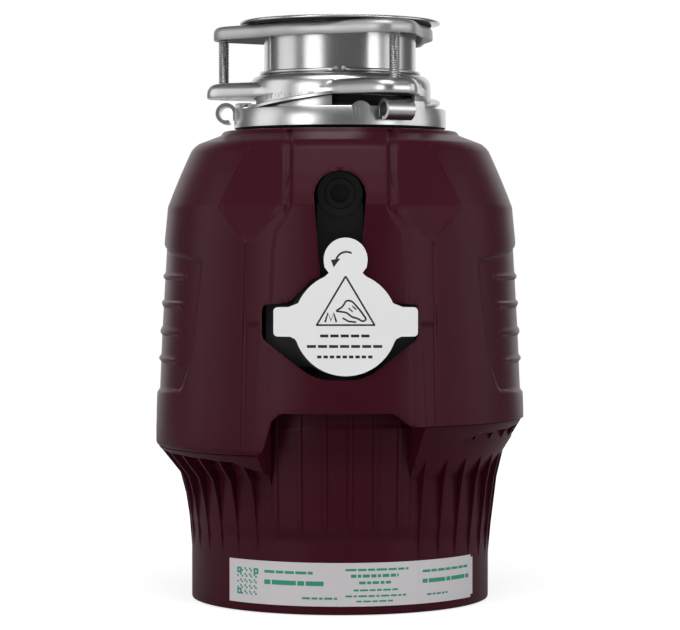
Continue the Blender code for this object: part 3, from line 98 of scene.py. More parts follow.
def studio_world(backdrop, ambient):
    world = bpy.data.worlds.new("studio")
    world.use_nodes = True
    tree = world.node_tree
    tree.nodes.clear()
    path = add_node(tree, "ShaderNodeLightPath")
    seen = add_node(tree, "ShaderNodeBackground", {"Color": linear("FFFFFF"), "Strength": backdrop})
    felt = add_node(tree, "ShaderNodeBackground", {"Color": linear("F4F2F6"), "Strength": ambient})
    both = {0: path.outputs["Is Camera Ray"], 1: felt.outputs[0], 2: seen.outputs[0]}
    mix = add_node(tree, "ShaderNodeMixShader", links=both)
    add_node(tree, "ShaderNodeOutputWorld", links={"Surface": mix.outputs[0]})
    return world


scene.world = studio_world(1.0, 0.15)


def soft_box(name, bearing, distance, height, width, tall, radiance):
    """A flat lamp that faces the axis at mid height, at a bearing from the front."""
    lamp = bpy.data.lights.new(name, "AREA")
    lamp.shape = "RECTANGLE"
    lamp.size = width
    lamp.size_y = tall
    lamp.energy = radiance * math.pi * width * tall
    made = bpy.data.objects.new(name, lamp)
    turn = math.radians(bearing)
    made.location = (distance * math.sin(turn), -distance * math.cos(turn), height)
    aim = Vector((0, 0, 0.17)) - made.location
    made.rotation_euler = aim.to_track_quat("-Z", "Y").to_euler()
    made.visible_camera = False
    scene.collection.objects.link(made)


soft_box("side_box_left", -88, 2.0, 0.45, 1.3, 1.9, 1.3)
soft_box("side_box_right", 88, 2.0, 0.45, 1.3, 1.9, 1.3)
soft_box("key_left", -40, 2.0, 0.50, 0.95, 1.0, 3.2)
soft_box("key_right", 51, 2.0, 0.50, 0.66, 1.0, 3.2)
soft_box("front_top", 0, 1.1, 2.1, 2.4, 0.9, 4.8)
soft_box("back_light", 180, 2.0, 0.6, 3.2, 1.7, 1.0)


def deselect():
    bpy.ops.object.select_all(action="DESELECT")


def start_with(add, name, **settings):
    """Adds a primitive with nothing else selected, and names it."""
    deselect()
    add(**settings)
    made = bpy.context.object
    made.name = name
    made.data.name = name
    return made


def painted_floor():
    """Matt white card. It shows as plain white, and throws back less light than it shows."""
    made = bpy.data.materials.new("studio_floor_paint")
    made.use_nodes = True
    tree = made.node_tree
    tree.nodes.clear()
    grain = add_node(tree, "ShaderNodeTexNoise", {"Scale": 40.0})
    tones = add_node(tree, "ShaderNodeMix", {"data_type": "RGBA", 6: linear("B8B8B8"), 7: linear("BEBEBE")},
                     {0: grain.outputs["Fac"]})
    matt = add_node(tree, "ShaderNodeBsdfDiffuse", links={"Color": tones.outputs[2]})
    white = add_node(tree, "ShaderNodeEmission", {"Color": linear("FFFFFF"), "Strength": 0.72})
    shown = add_node(tree, "ShaderNodeAddShader", links={0: matt.outputs[0], 1: white.outputs[0]})
    path = add_node(tree, "ShaderNodeLightPath")
    both = {0: path.outputs["Is Camera Ray"], 1: matt.outputs[0], 2: shown.outputs[0]}
    mix = add_node(tree, "ShaderNodeMixShader", links=both)
    add_node(tree, "ShaderNodeOutputMaterial", links={"Surface": mix.outputs[0]})
    return made


floor = start_with(bpy.ops.mesh.primitive_plane_add, "studio_floor", size=3.2, location=(0, 0, -0.0005))
floor.data.materials.append(painted_floor())


# ------------------------------------------------------------------ moulded casing: how its shells are made
# A shell starts as a flat grid. It is bent round the axis into rings that follow a profile, its seam is
# merged, and its edges and openings are cut afterwards.


def smooth(value, start, end):
    """0 before start, 1 after end, with an easy curve between."""
    share = np.clip((value - start) / (end - start), 0, 1)
    return share * share * (3 - 2 * share)


def soft_min(first, second, blend):
    """The lesser of two values, with the corner where they meet rounded."""
    share = np.clip(0.5 + 0.5 * (second - first) / blend, 0, 1)
    return second * (1 - share) + first * share - blend * share * (1 - share)


def even_points(profile, count):
    """A profile of (radius, height), read at evenly spaced places along it."""
    points = np.array(profile, float)
    walk = np.concatenate([[0], np.cumsum(np.hypot(*np.diff(points, axis=0).T))])
    places = np.linspace(0, walk[-1], count)
    return np.interp(places, walk, points[:, 0]), np.interp(places, walk, points[:, 1])


def bent_grid(name, bearings, radius, height, join_rows=True, at=(0, 0, 0)):
    """A grid bent round an upright axis. Radius and height hold a row for each ring."""
    rows, columns = radius.shape
    rows_made = rows + 1 if join_rows else rows
    grid = start_with(bpy.ops.mesh.primitive_grid_add, name, x_subdivisions=columns,
                      y_subdivisions=rows_made - 1, size=2)
    flat = np.empty(len(grid.data.vertices) * 3)
    grid.data.vertices.foreach_get("co", flat)
    flat = flat.reshape(-1, 3)
    column = np.rint((flat[:, 0] + 1) / 2 * columns).astype(int) % columns
    row = np.rint((flat[:, 1] + 1) / 2 * (rows_made - 1)).astype(int) % rows
    turn = np.radians(np.asarray(bearings))[column]
    out = radius[row, column]
    points = np.stack([out * np.sin(turn), -out * np.cos(turn), height[row, column]], axis=1)
    points = (points + np.array(at)) * MM
    grid.data.vertices.foreach_set("co", points.ravel())
    bpy.ops.object.mode_set(mode="EDIT")
    bpy.ops.mesh.select_all(action="SELECT")
    bpy.ops.mesh.remove_doubles(threshold=0.000002)
    bpy.ops.mesh.dissolve_degenerate(threshold=0.000001)
    bpy.ops.mesh.select_all(action="SELECT")
    bpy.ops.mesh.normals_make_consistent(inside=False)
    bpy.ops.object.mode_set(mode="OBJECT")
    return grid


def turned(name, profile, columns=96, join_rows=True, at=(0, 0, 0)):
    """A piece turned about an upright axis from a profile of (radius, height)."""
    points = np.array(profile, float)
    bearings = np.arange(columns) * 360 / columns
    radius = np.repeat(points[:, :1], columns, axis=1)
    height = np.repeat(points[:, 1:], columns, axis=1)
    return bent_grid(name, bearings, radius, height, join_rows, at)


def rounded(points, radius, steps=5):
    """A closed outline with its corners rounded, as far as its sides allow."""
    points = [Vector(point) for point in points]
    outline = []
    for place, corner in enumerate(points):
        back = points[place - 1] - corner
        on = points[(place + 1) % len(points)] - corner
        reach = min(radius, back.length * 0.45, on.length * 0.45)
        first = corner + back.normalized() * reach
        last = corner + on.normalized() * reach
        for step in range(steps + 1):
            share = step / steps
            point = first * (1 - share) ** 2 + corner * 2 * share * (1 - share) + last * share ** 2
            outline.append((point.x, point.y))
    return outline


def plate(name, outline, near, far, bevel=0.0):
    """A flat piece that faces the front: an outline in X and Z, given a thickness along Y."""
    made = start_with(bpy.ops.mesh.primitive_circle_add, name, vertices=len(outline), radius=1,
                      fill_type="NGON")
    for vertex, (x, z) in zip(made.data.vertices, outline):
        vertex.co = (x * MM, near * MM, z * MM)
    bpy.ops.object.mode_set(mode="EDIT")
    bpy.ops.mesh.select_all(action="SELECT")
    move = {"value": (0, (far - near) * MM, 0)}
    bpy.ops.mesh.extrude_region_move(TRANSFORM_OT_translate=move)
    bpy.ops.mesh.select_all(action="SELECT")
    bpy.ops.mesh.normals_make_consistent(inside=False)
    bpy.ops.object.mode_set(mode="OBJECT")
    if bevel:
        edge = made.modifiers.new("edge", "BEVEL")
        edge.width = bevel * MM
        edge.segments = 2
        edge.limit_method = "ANGLE"
        bpy.ops.object.modifier_apply(modifier=edge.name)
    return made


def only(made):
    """Selects one object alone."""
    deselect()
    made.select_set(True)
    bpy.context.view_layer.objects.active = made


def combine(body, other, operation):
    """Joins another closed piece to a body, or cuts it away. The other piece is used up."""
    only(body)
    step = body.modifiers.new("step", "BOOLEAN")
    step.operation = operation
    step.solver = "MANIFOLD"
    step.object = other
    bpy.ops.object.modifier_apply(modifier=step.name)
    bpy.data.objects.remove(other, do_unlink=True)
    return body


def smooth_shade(made, angle=35):
    only(made)
    bpy.ops.object.shade_smooth_by_angle(angle=math.radians(angle))
    return made


def dress(made, look):
    made.data.materials.clear()
    made.data.materials.append(look)
    return made


def new_material(name, colour, roughness, metallic=0.0, shine=0.5):
    """A Principled surface. Returns the material, its tree and its shader."""
    made = bpy.data.materials.new(name)
    made.use_nodes = True
    shader = made.node_tree.nodes["Principled BSDF"]
    shader.inputs["Base Color"].default_value = linear(colour)
    shader.inputs["Roughness"].default_value = roughness
    shader.inputs["Metallic"].default_value = metallic
    shader.inputs["Specular IOR Level"].default_value = shine
    return made, made.node_tree, shader


def surface(name, colour, light, roughness, metallic=0.0, grain=0.5, relief=0.012, drift=45, shine=0.5):
    """A surface whose tone and gloss drift slowly, with a fine grain in relief. Grain and drift are the two
    patterns' sizes."""
    made, tree, shader = new_material(name, colour, roughness, metallic, shine)
    place = add_node(tree, "ShaderNodeTexCoord")
    fine = add_node(tree, "ShaderNodeTexNoise", {"Scale": 1000 / grain, "Detail": 2.0},
                    {"Vector": place.outputs["Object"]})
    slow = add_node(tree, "ShaderNodeTexNoise", {"Scale": 1000 / drift, "Detail": 3.0},
                    {"Vector": place.outputs["Object"]})
    tone = add_node(tree, "ShaderNodeMix", {"data_type": "RGBA", 6: linear(colour), 7: linear(light)},
                    {0: slow.outputs["Fac"]})
    gloss = add_node(tree, "ShaderNodeMapRange", {"To Min": roughness - 0.04, "To Max": roughness + 0.05},
                     {"Value": slow.outputs["Fac"]})
    bump = add_node(tree, "ShaderNodeBump", {"Strength": 0.6, "Distance": relief * MM},
                    {"Height": fine.outputs["Fac"]})
    tree.links.new(tone.outputs[2], shader.inputs["Base Color"])
    tree.links.new(gloss.outputs[0], shader.inputs["Roughness"])
    tree.links.new(bump.outputs[0], shader.inputs["Normal"])
    return made


# Satin ABS with a spark-eroded texture: deep burgundy, with wide soft highlights at the sides.
BURGUNDY = surface("moulded_burgundy_abs", "390E19", "3E111D", 0.34, grain=0.5, relief=0.012, shine=0.13)
BURGUNDY.node_tree.nodes["Principled BSDF"].inputs["Specular Tint"].default_value = linear("FFDCE8")


# ------------------------------------------------------------------ outer cover
# The moulded cover over the grinding chamber. Two flat facets, a raised centre panel with grooves beside it,
# a parting line, recessed grips with ribs, a front cut-out, and a lower edge that is stepped and arched.

COVER_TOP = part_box("outer_cover")[1].z / MM
COVER_R = -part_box("outer_cover")[0].x / MM
EDGE_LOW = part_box("outer_cover")[0].z / MM
EDGE_HIGH = EDGE_LOW + 15.7
CREASE = COVER_TOP - 43
FACET_BEARING = 30.5
OUTLET_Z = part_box("transit_card")[0].z / MM + 27.7
SLOT_TOP = OUTLET_Z + 82.5

cover_outside = [
    (62.0, COVER_TOP - 1.4), (62.5, COVER_TOP - 0.3), (63.5, COVER_TOP), (65.6, COVER_TOP),
    (66.9, COVER_TOP - 0.5), (67.5, COVER_TOP - 1.6), (67.9, COVER_TOP - 2.4), (69.6, COVER_TOP - 3.0),
    (74.9, COVER_TOP - 5.0), (80.7, COVER_TOP - 7.2), (83.2, COVER_TOP - 9.2), (84.9, COVER_TOP - 11.4),
    (87.0, COVER_TOP - 16), (91.0, COVER_TOP - 25), (95.5, COVER_TOP - 36), (97.3, COVER_TOP - 40.8),
    (98.2, CREASE), (98.6, CREASE - 5), (99.9, CREASE - 18), (103.0, CREASE - 72),
    (104.6, CREASE - 110), (COVER_R, CREASE - 125), (COVER_R, EDGE_LOW + 1.8),
    (COVER_R - 0.4, EDGE_LOW + 0.6), (COVER_R - 1.2, EDGE_LOW),
]
cover_inside = [
    (102.0, EDGE_LOW), (101.8, CREASE - 110), (99.8, CREASE - 72), (96.7, CREASE - 18), (95.0, CREASE - 1),
    (87.8, COVER_TOP - 27), (81.0, COVER_TOP - 13), (76.0, COVER_TOP - 8.4), (66.0, COVER_TOP - 6.0),
    (62.0, COVER_TOP - 5.6),
]


def arc_points(radius, start, end, steps, centre):
    turns = np.radians(np.linspace(start, end, steps + 1))
    return [(centre[0] + radius * math.cos(turn), centre[1] + radius * math.sin(turn)) for turn in turns]


slot_left = [(-14, OUTLET_Z + 25), (-27, OUTLET_Z + 11.5), (-42, OUTLET_Z + 10), (-42, OUTLET_Z - 8),
             (-17, OUTLET_Z - 27)]
slot_bottom = [(-9, OUTLET_Z - 30), (9, OUTLET_Z - 30)]
slot_right = [(-x, z) for x, z in reversed(slot_left)]
slot_sides = rounded(slot_left + slot_bottom + slot_right, 3.5, 4)
slot_outline = slot_sides + arc_points(14, 0, 180, 14, (0, SLOT_TOP - 14))

front_edge = [(-47, EDGE_LOW - 4), (-44.6, EDGE_LOW), (-41.2, EDGE_LOW + 3.4), (-36.6, EDGE_LOW + 19.4),
              (-32, EDGE_LOW + 23.2), (29, EDGE_LOW + 23.2), (34, EDGE_LOW + 19.0), (38.5, EDGE_HIGH)]
CORNER_STEPS = 4
far_corners = [(130, EDGE_HIGH), (130, EDGE_LOW - 4)]
front_edge_outline = rounded(front_edge + far_corners, 3.0, CORNER_STEPS)
rolled_edge = front_edge_outline[:-len(far_corners) * (CORNER_STEPS + 1)]
back_edge = [(-46, EDGE_LOW - 4), (-44, EDGE_LOW + 4), (-40, EDGE_HIGH)]
back_edge_outline = rounded(back_edge + far_corners, 2.0, CORNER_STEPS)


def distance_to(outline, x, z):
    """How far each point is from an outline."""
    ends = np.array(outline)
    starts = np.roll(ends, 1, axis=0)
    nearest = np.full(x.shape, 1e9)
    for (x0, z0), (x1, z1) in zip(starts, ends):
        run, rise = x1 - x0, z1 - z0
        length = run * run + rise * rise
        if length == 0:
            continue
        share = np.clip(((x - x0) * run + (z - z0) * rise) / length, 0, 1)
        nearest = np.minimum(nearest, np.hypot(x - x0 - share * run, z - z0 - share * rise))
    return nearest


def inside_line(u, z, start, end):
    """The distance of points to the left of a line from start to end, in the plane of the unrolled wall."""
    run, rise = end[0] - start[0], end[1] - start[1]
    return (run * (z - start[1]) - rise * (u - start[0])) / math.hypot(run, rise)


GRIP_RIBS = [(58.1, 183.0), (59.1, 167.5), (60.1, 152.0), (61.2, 136.6)]  # bearing of the end, height
WALL_DEGREE = 1.78  # millimetres of wall to a degree
KITE_DEGREE = 1.62  # the same, higher up where the facets are


def cover_radius(bearing, radius, z):
    """The turned wall with its facets, panel, grooves, grips and rolled edges."""
    side = np.abs(bearing)
    out = radius.copy()
    leaning = np.where(z < CREASE, 99.95 - 0.195 * (z - CREASE + 19), 96.25 - 0.392 * (z - CREASE))
    facet = leaning / np.cos(np.radians(np.clip(side - FACET_BEARING, -50, 50)))
    kite = [(18.6, CREASE - 3), (29.9, CREASE - 20.5), (42.6, CREASE - 1), (36.6, CREASE + 31.8)]
    in_kite = np.full(out.shape, 30.0)
    corners = [(turn * KITE_DEGREE, level) for turn, level in kite]
    for first, second in zip(corners, corners[1:]):
        in_kite = np.minimum(in_kite, inside_line(side * KITE_DEGREE, z, first, second))
    in_kite = np.minimum(in_kite, COVER_TOP - 9 - z)
    in_kite = np.minimum(in_kite, (side - 17.5) * KITE_DEGREE)
    out += (np.minimum(facet, out - 0.3) - out) * smooth(in_kite, 0, 0.8)
    out += 0.16 * np.exp(-((in_kite + 0.1) / 0.55) ** 2)
    x = out * np.sin(np.radians(bearing))
    front = side < 75
    half = np.interp(z, [EDGE_LOW, OUTLET_Z + 8, OUTLET_Z + 40, CREASE - 14, CREASE - 5, CREASE],
                     [39, 37.4, 36, 34.6, 28, 26])
    proud = np.interp(z, [OUTLET_Z - 20, OUTLET_Z + 20, CREASE - 16, CREASE - 1, CREASE + 4],
                      [0.1, 0.5, 0.6, 1.6, 1.7])
    out += np.where(front, smooth(half - np.abs(x), -0.8, 1.2) * proud, 0)
    beside = smooth(np.abs(x), 25.0, 27.2) * (1 - smooth(np.abs(x), 28.2, 30.6))
    beside *= smooth(z, CREASE - 5, CREASE + 1)
    out -= np.where(front, 1.4 * beside, 0)
    below = 1 - smooth(z, CREASE - 21, CREASE - 19)
    out -= 0.6 * (1 - smooth(np.abs(side - 30.2) * 1.8, 0.5, 1.15)) * below
    inner_line = 25.0 + 1.4 * (OUTLET_Z - z) / 70
    strip = smooth(side, inner_line, inner_line + 0.45) * (1 - smooth(side, 29.3, 29.8))
    out -= 0.6 * strip * (1 - smooth(z, OUTLET_Z - 2, OUTLET_Z + 1))
    along = 90 - np.abs(90 - side)
    u = along * WALL_DEGREE
    corners = [(turn * WALL_DEGREE, level) for turn, level in
               [(90, 202), (48.3, 193.0), (51.7, 137), (57.5, 119), (90, 116.6)]]
    within = np.full(out.shape, 60.0)
    for first, second in zip(corners, corners[1:]):
        within = soft_min(within, inside_line(u, z, first, second), 3.5)
    out -= 1.5 * smooth(within, 0, 2.4)
    for end, level in GRIP_RIBS:
        away = np.hypot(np.maximum(end * WALL_DEGREE + 1.7 - u, 0), z - level)
        out += 1.15 * (1 - smooth(away, 0.9, 2.0))
        pit = np.hypot(end * WALL_DEGREE + 0.9 - u, z - level)
        out -= 1.3 * (1 - smooth(pit, 0.2, 1.0))
    near = np.minimum(distance_to(slot_outline, x, z), distance_to(rolled_edge, x, z))
    roll = 0.6
    drop = roll - np.sqrt(np.maximum(roll ** 2 - np.maximum(roll - near, 0) ** 2, 0))
    return out - np.where(side < 80, drop, 0)


def cover_bearings():
    """Close together at the front, where the fine shapes are, and wider round the back."""
    half = np.concatenate([np.arange(0, 24.8, 0.40), np.arange(24.8, 32, 0.25), np.arange(32, 44, 0.45),
                           np.arange(44, 64, 0.62), np.arange(64, 180, 1.9)])
    return np.concatenate([-half[:0:-1], half, [180]])


bearings = cover_bearings()
outer_r, outer_z = even_points(cover_outside, 158)
inner_r, inner_z = np.array(cover_inside).T
radius = np.repeat(np.concatenate([outer_r, inner_r])[:, None], len(bearings), axis=1)
height = np.repeat(np.concatenate([outer_z, inner_z])[:, None], len(bearings), axis=1)
wall = slice(6, len(outer_r))
radius[wall] = cover_radius(np.broadcast_to(bearings, radius[wall].shape), radius[wall], height[wall])
cover = bent_grid("outer_cover_shell", bearings, radius, height)
combine(cover, plate("cut_front_edge", front_edge_outline, -COVER_R - 10, 0), "DIFFERENCE")
combine(cover, plate("cut_back_edge", back_edge_outline, 0, COVER_R + 10), "DIFFERENCE")
combine(cover, plate("cut_slot", slot_outline, -COVER_R - 10, -COVER_R + 45), "DIFFERENCE")
smooth_shade(dress(cover, BURGUNDY), 32)
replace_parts(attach(cover, "housing"), "outer_cover")


# ------------------------------------------------------------------ lower housing
# The moulded shell round the motor. Thin fins every nine degrees flare out to the cover's edge, low ones
# stand on the flat front, and a band closes the bays between them just under the cover.

HOUSING_R = 84.7
FIN_PITCH = 9.0
FIN_PHASE = 3.6
HOUSING_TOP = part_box("lower_housing")[1].z / MM


def left_share(bearing):
    """1 on the left side, where the cover's edge is low, and 0 elsewhere."""
    return smooth(bearing, -155, -153) * (1 - smooth(bearing, -25.4, -25.0))


def front_share(bearing):
    """1 on the flat front, and 0 elsewhere."""
    return smooth(bearing, -25.4, -25.0) * (1 - smooth(bearing, 25.9, 26.2))


def housing_edge(bearing):
    """The height of the flare's top, just under the cover."""
    left = left_share(bearing)
    sides = EDGE_LOW * left + EDGE_HIGH * (1 - left) - 0.5
    front = front_share(bearing)
    return sides * (1 - front) + (HOUSING_TOP + 2) * front


def band_foot(bearing):
    """The height where the smooth band under the cover ends and the bays between the fins begin."""
    side = np.abs(bearing)
    left = np.interp(side, [26, 36, 60, 90], [EDGE_LOW - 11, EDGE_LOW - 5.3, EDGE_LOW - 3.8, EDGE_LOW - 2.6])
    right = np.interp(side, [26, 33, 43.6, 51, 90], [79, 87, 93.3, 96, 99.5])
    share = left_share(bearing)
    return left * share + right * (1 - share)


def housing_radius(bearing, z):
    """The motor's wall with its fins, the band over them and the low ribs of the flat front."""
    left = left_share(bearing)
    offset = (bearing - FIN_PHASE + FIN_PITCH / 2) % FIN_PITCH - FIN_PITCH / 2
    left_fin = np.interp(z, [28, 46, 59, 71.2, 86.6], [84.6, 86.0, 88.0, 91.2, 103.5])
    right_fin = np.interp(z, [24, 43, 69, 85.6, 102], [84.6, 86.4, 89.6, 93.5, 103.5])
    flare = left_fin * left + right_fin * (1 - left)
    wall = np.interp(z, [0, 40.5, 47.0, 70, 104], [HOUSING_R, HOUSING_R, 85.5, 86.3, 87.5])
    fin = 1 - smooth(np.abs(offset) * 1.55, 0.55, 0.8)
    sides = np.maximum(wall, wall + (flare - wall) * fin)
    foot = band_foot(bearing)
    sides += (np.maximum(flare, sides) - sides) * smooth(z, foot - 1.0, foot + 0.8)
    front_wall = np.interp(z, [0, 40.5, 46.5, 101.8, 102.4, 112],
                           [HOUSING_R, HOUSING_R, 86.2, 88.0, 87.4, 87.6])
    pilaster = (1 - smooth(np.abs(offset) * 1.53, 0.9, 1.35)) * smooth(z, 42, 52)
    front = front_share(bearing)
    return sides * (1 - front) + (front_wall + 1.05 * pilaster) * front


fin_steps = [-3.5, -2.5, -1.7, -1.1, -0.85, -0.62, -0.5, -0.36, 0, 0.36, 0.5, 0.62, 0.85, 1.1, 1.7, 2.5, 3.5]
bearings = np.sort((np.array([FIN_PHASE + FIN_PITCH * fin + step for fin in range(40) for step in fin_steps])
                    + 180) % 360 - 180)
corner_steps = np.array([-155.2, -154, -152.8, -25.5, -25.2, -24.95, 25.8, 26.05, 26.3])
bearings = np.unique(np.round(np.concatenate([bearings, corner_steps]), 3))
PLAIN_TOP = 48  # the rings are level up to here
FLARE_TOP = 100
heights = np.concatenate([np.linspace(0.9, 26, 7), np.linspace(28, 47, 14), np.linspace(48.5, FLARE_TOP, 52)])
edge = housing_edge(bearings)
climb = (heights[:, None] - PLAIN_TOP) / (FLARE_TOP - PLAIN_TOP)
risen = PLAIN_TOP + climb * (edge[None, :] - PLAIN_TOP)
outer_z = np.where(heights[:, None] < PLAIN_TOP, heights[:, None], risen)
wide = np.broadcast_to(bearings, outer_z.shape)
outer_r = housing_radius(wide, outer_z)
at_front = front_share(bearings)[None, :]
tongue = np.where(at_front > 0.5, outer_r[-1:] - 0.4, 100.4)
foot_r = [HOUSING_R - 10.7, HOUSING_R - 10.7, HOUSING_R - 10.2, HOUSING_R - 0.9, HOUSING_R - 0.25]
foot_z = [3.0, 0.5, 0.0, 0.0, 0.25]
spread = np.ones((1, len(bearings)))
inner_r = [tongue, tongue, tongue - 2.4, tongue - 2.4, 84.5 * spread, 81.2 * spread, 81.2 * spread]
inner_z = [edge[None, :], (HOUSING_TOP + 2.0) * spread, (HOUSING_TOP + 2.0) * spread, 92 * spread,
           70 * spread, 30 * spread, 3.0 * spread]
radius = np.concatenate([np.array(foot_r)[:, None] * spread, outer_r, *inner_r])
height = np.concatenate([np.array(foot_z)[:, None] * spread, outer_z, *inner_z])
housing = bent_grid("lower_housing_shell", bearings, radius, height)
smooth_shade(dress(housing, BURGUNDY), 32)
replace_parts(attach(housing, "housing"), "lower_housing")


# ------------------------------------------------------------------ sink mount: how its pieces are made
# Drawn and pressed steel. Sections are turned or swept about the axis, and the closed pieces are then joined.


def joined(body, other):
    """Two closed pieces made one."""
    return combine(body, other, "UNION")


def swept(name, section, start, end, columns, rise=None):
    """A closed section of (radius, height) swept round the axis between two bearings, with closed ends. Rise
    takes the share of the way, and gives what is added to each radius and height."""
    points = np.array(section, float)
    grid = start_with(bpy.ops.mesh.primitive_grid_add, name, x_subdivisions=columns,
                      y_subdivisions=len(points), size=2)
    flat = np.empty(len(grid.data.vertices) * 3)
    grid.data.vertices.foreach_get("co", flat)
    flat = flat.reshape(-1, 3)
    share = (flat[:, 0] + 1) / 2
    row = np.rint((flat[:, 1] + 1) / 2 * len(points)).astype(int) % len(points)
    more_r, more_z = rise(share) if rise else (0, 0)
    out = points[row, 0] + more_r
    turn = np.radians(start + (end - start) * share)
    places = np.stack([out * np.sin(turn), -out * np.cos(turn), points[row, 1] + more_z], axis=1) * MM
    grid.data.vertices.foreach_set("co", places.ravel())
    bpy.ops.object.mode_set(mode="EDIT")
    bpy.ops.mesh.select_all(action="SELECT")
    bpy.ops.mesh.remove_doubles(threshold=0.000001)
    bpy.ops.mesh.fill_holes(sides=0)
    bpy.ops.mesh.select_all(action="SELECT")
    bpy.ops.mesh.normals_make_consistent(inside=False)
    bpy.ops.object.mode_set(mode="OBJECT")
    return grid


def bevelled(made, width):
    only(made)
    edge = made.modifiers.new("edge", "BEVEL")
    edge.width = width * MM
    edge.segments = 2
    edge.limit_method = "ANGLE"
    edge.angle_limit = math.radians(40)
    bpy.ops.object.modifier_apply(modifier=edge.name)
    return made


def wire(name, points, radius):
    """Round wire along a smooth path, made solid."""
    path = bpy.data.curves.new(name, "CURVE")
    path.dimensions = "3D"
    path.bevel_depth = radius * MM
    path.bevel_resolution = 3
    path.use_fill_caps = True
    line = path.splines.new("POLY")
    line.points.add(len(points) - 1)
    for place, point in zip(line.points, points):
        place.co = (point[0] * MM, point[1] * MM, point[2] * MM, 1)
    made = bpy.data.objects.new(name, path)
    scene.collection.objects.link(made)
    only(made)
    bpy.ops.object.convert(target="MESH")
    return made


SCREW_BEARINGS = {"left": 266.7, "front": 26.7, "rear": 146.7}
SCREW_AT_R = 66.5


def round_place(radius, bearing):
    turn = math.radians(bearing)
    return radius * math.sin(turn), -radius * math.cos(turn)


def lobed_radius(bearings, body, reach, tip, corner):
    """A round plate with a lobe at each screw: the radius of its edge at each bearing."""
    off = np.abs((bearings - SCREW_BEARINGS["front"] + 60) % 120 - 60)
    turn = np.radians(off)
    end_x, end_y = reach, tip
    root_x, root_y = body * math.cos(math.radians(36)), body * math.sin(math.radians(36))
    side_x, side_y = end_x - root_x, end_y - root_y
    side = (end_y * side_x - end_x * side_y) / (np.sin(turn) * side_x - np.cos(turn) * side_y)
    side = np.where(side > 0, side, 1e3)
    lobe = soft_min(reach / np.cos(np.minimum(turn, 1.2)), side, corner)
    return -soft_min(-lobe, np.full(lobe.shape, -body), 3.0)


def lobed(name, edge, rows):
    """A closed lobed piece. A row is (radius, inset, height): it follows the edge by its inset, or is a plain
    circle where the inset is None."""
    bearings = np.arange(0, 360, 1.25)
    outline = edge(bearings)
    least = rows[0][0] + 1
    radius = np.array([np.maximum(outline - inset, least) if inset is not None
                       else np.full(bearings.shape, float(plain)) for plain, inset, _ in rows])
    height = np.repeat(np.array([[z] for _, _, z in rows], float), len(bearings), axis=1)
    return bent_grid(name, bearings, radius, height)


def pressed_steel(name, colour, roughness, grain=(1200, 1200, 60)):
    """Stainless sheet, pressed and lightly brushed: long soft streaks in its gloss."""
    made, tree, shader = new_material(name, colour, roughness, 1.0)
    place = add_node(tree, "ShaderNodeTexCoord")
    stretch = add_node(tree, "ShaderNodeMapping", {"Scale": grain}, {"Vector": place.outputs["Object"]})
    streaks = add_node(tree, "ShaderNodeTexNoise", {"Scale": 1.0, "Detail": 2.0},
                       {"Vector": stretch.outputs[0]})
    slow = add_node(tree, "ShaderNodeTexNoise", {"Scale": 30.0, "Detail": 3.0},
                    {"Vector": place.outputs["Object"]})
    total = add_node(tree, "ShaderNodeMath", {"operation": "ADD"},
                     {0: streaks.outputs["Fac"], 1: slow.outputs["Fac"]})
    spread = {"From Max": 2.0, "To Min": roughness - 0.08, "To Max": roughness + 0.1}
    gloss = add_node(tree, "ShaderNodeMapRange", spread, {"Value": total.outputs[0]})
    bump = add_node(tree, "ShaderNodeBump", {"Strength": 0.25, "Distance": 0.01 * MM},
                    {"Height": streaks.outputs["Fac"]})
    tree.links.new(gloss.outputs[0], shader.inputs["Roughness"])
    tree.links.new(bump.outputs[0], shader.inputs["Normal"])
    return made


# Drawn stainless tube and flange: grey, with soft upright reflections.
STAINLESS = pressed_steel("drawn_stainless", "B9B9B9", 0.24, (300, 300, 12))
# Pressed zinc-plated steel: paler and less glossy, with a fine overall grain.
PLATED = pressed_steel("pressed_plated_steel", "B4B4B4", 0.44, (1500, 1500, 1500))
# Polished ring steel: bright, with sharper reflections.
BRIGHT_RING = pressed_steel("bright_pressed_steel", "C6C6C6", 0.3, (500, 500, 90))
# Plated screw steel: mid grey, so the threads read.
SCREW_STEEL = pressed_steel("plated_screw_steel", "B2B2B2", 0.26, (900, 900, 900))
# Moulded rubber: black and nearly matt.
RUBBER = surface("black_moulded_rubber", "0B0B0B", "121212", 0.62, grain=0.8, relief=0.02)


# ------------------------------------------------------------------ sink flange
# A drawn stainless flange with its sleeve in one piece. The rim is rolled, and the sleeve has a seam.

FLANGE_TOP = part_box("sink_flange")[1].z / MM
SLEEVE_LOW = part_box("sink_flange")[0].z / MM
FLANGE_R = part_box("sink_flange")[1].x / MM
SLEEVE_R = 43.2
flange_profile = [
    (42.0, SLEEVE_LOW), (42.0, FLANGE_TOP - 3.4), (42.5, FLANGE_TOP - 1.9), (43.8, FLANGE_TOP - 0.9),
    (46.0, FLANGE_TOP - 0.6), (54.6, FLANGE_TOP - 0.4), (55.4, FLANGE_TOP - 0.1), (56.2, FLANGE_TOP),
    (56.9, FLANGE_TOP - 0.3), (FLANGE_R, FLANGE_TOP - 0.9), (56.9, FLANGE_TOP - 1.5),
    (56.0, FLANGE_TOP - 1.6),
    (46.6, FLANGE_TOP - 1.8), (44.6, FLANGE_TOP - 2.2), (43.5, FLANGE_TOP - 3.4),
    (SLEEVE_R, FLANGE_TOP - 5.0),
    (SLEEVE_R, SLEEVE_LOW),
]
SEAM = -66.4
seam_columns = SEAM + np.array([-0.5, -0.2, 0, 0.2, 0.5])
bearings = np.sort(np.concatenate([np.arange(-180, 180, 3.0) + 0.1, seam_columns]))
points = np.array(flange_profile)
radius = np.repeat(points[:, :1], len(bearings), axis=1)
radius[-3:] -= 0.22 * np.exp(-((bearings - SEAM) / 0.25) ** 2)
height = np.repeat(points[:, 1:], len(bearings), axis=1)
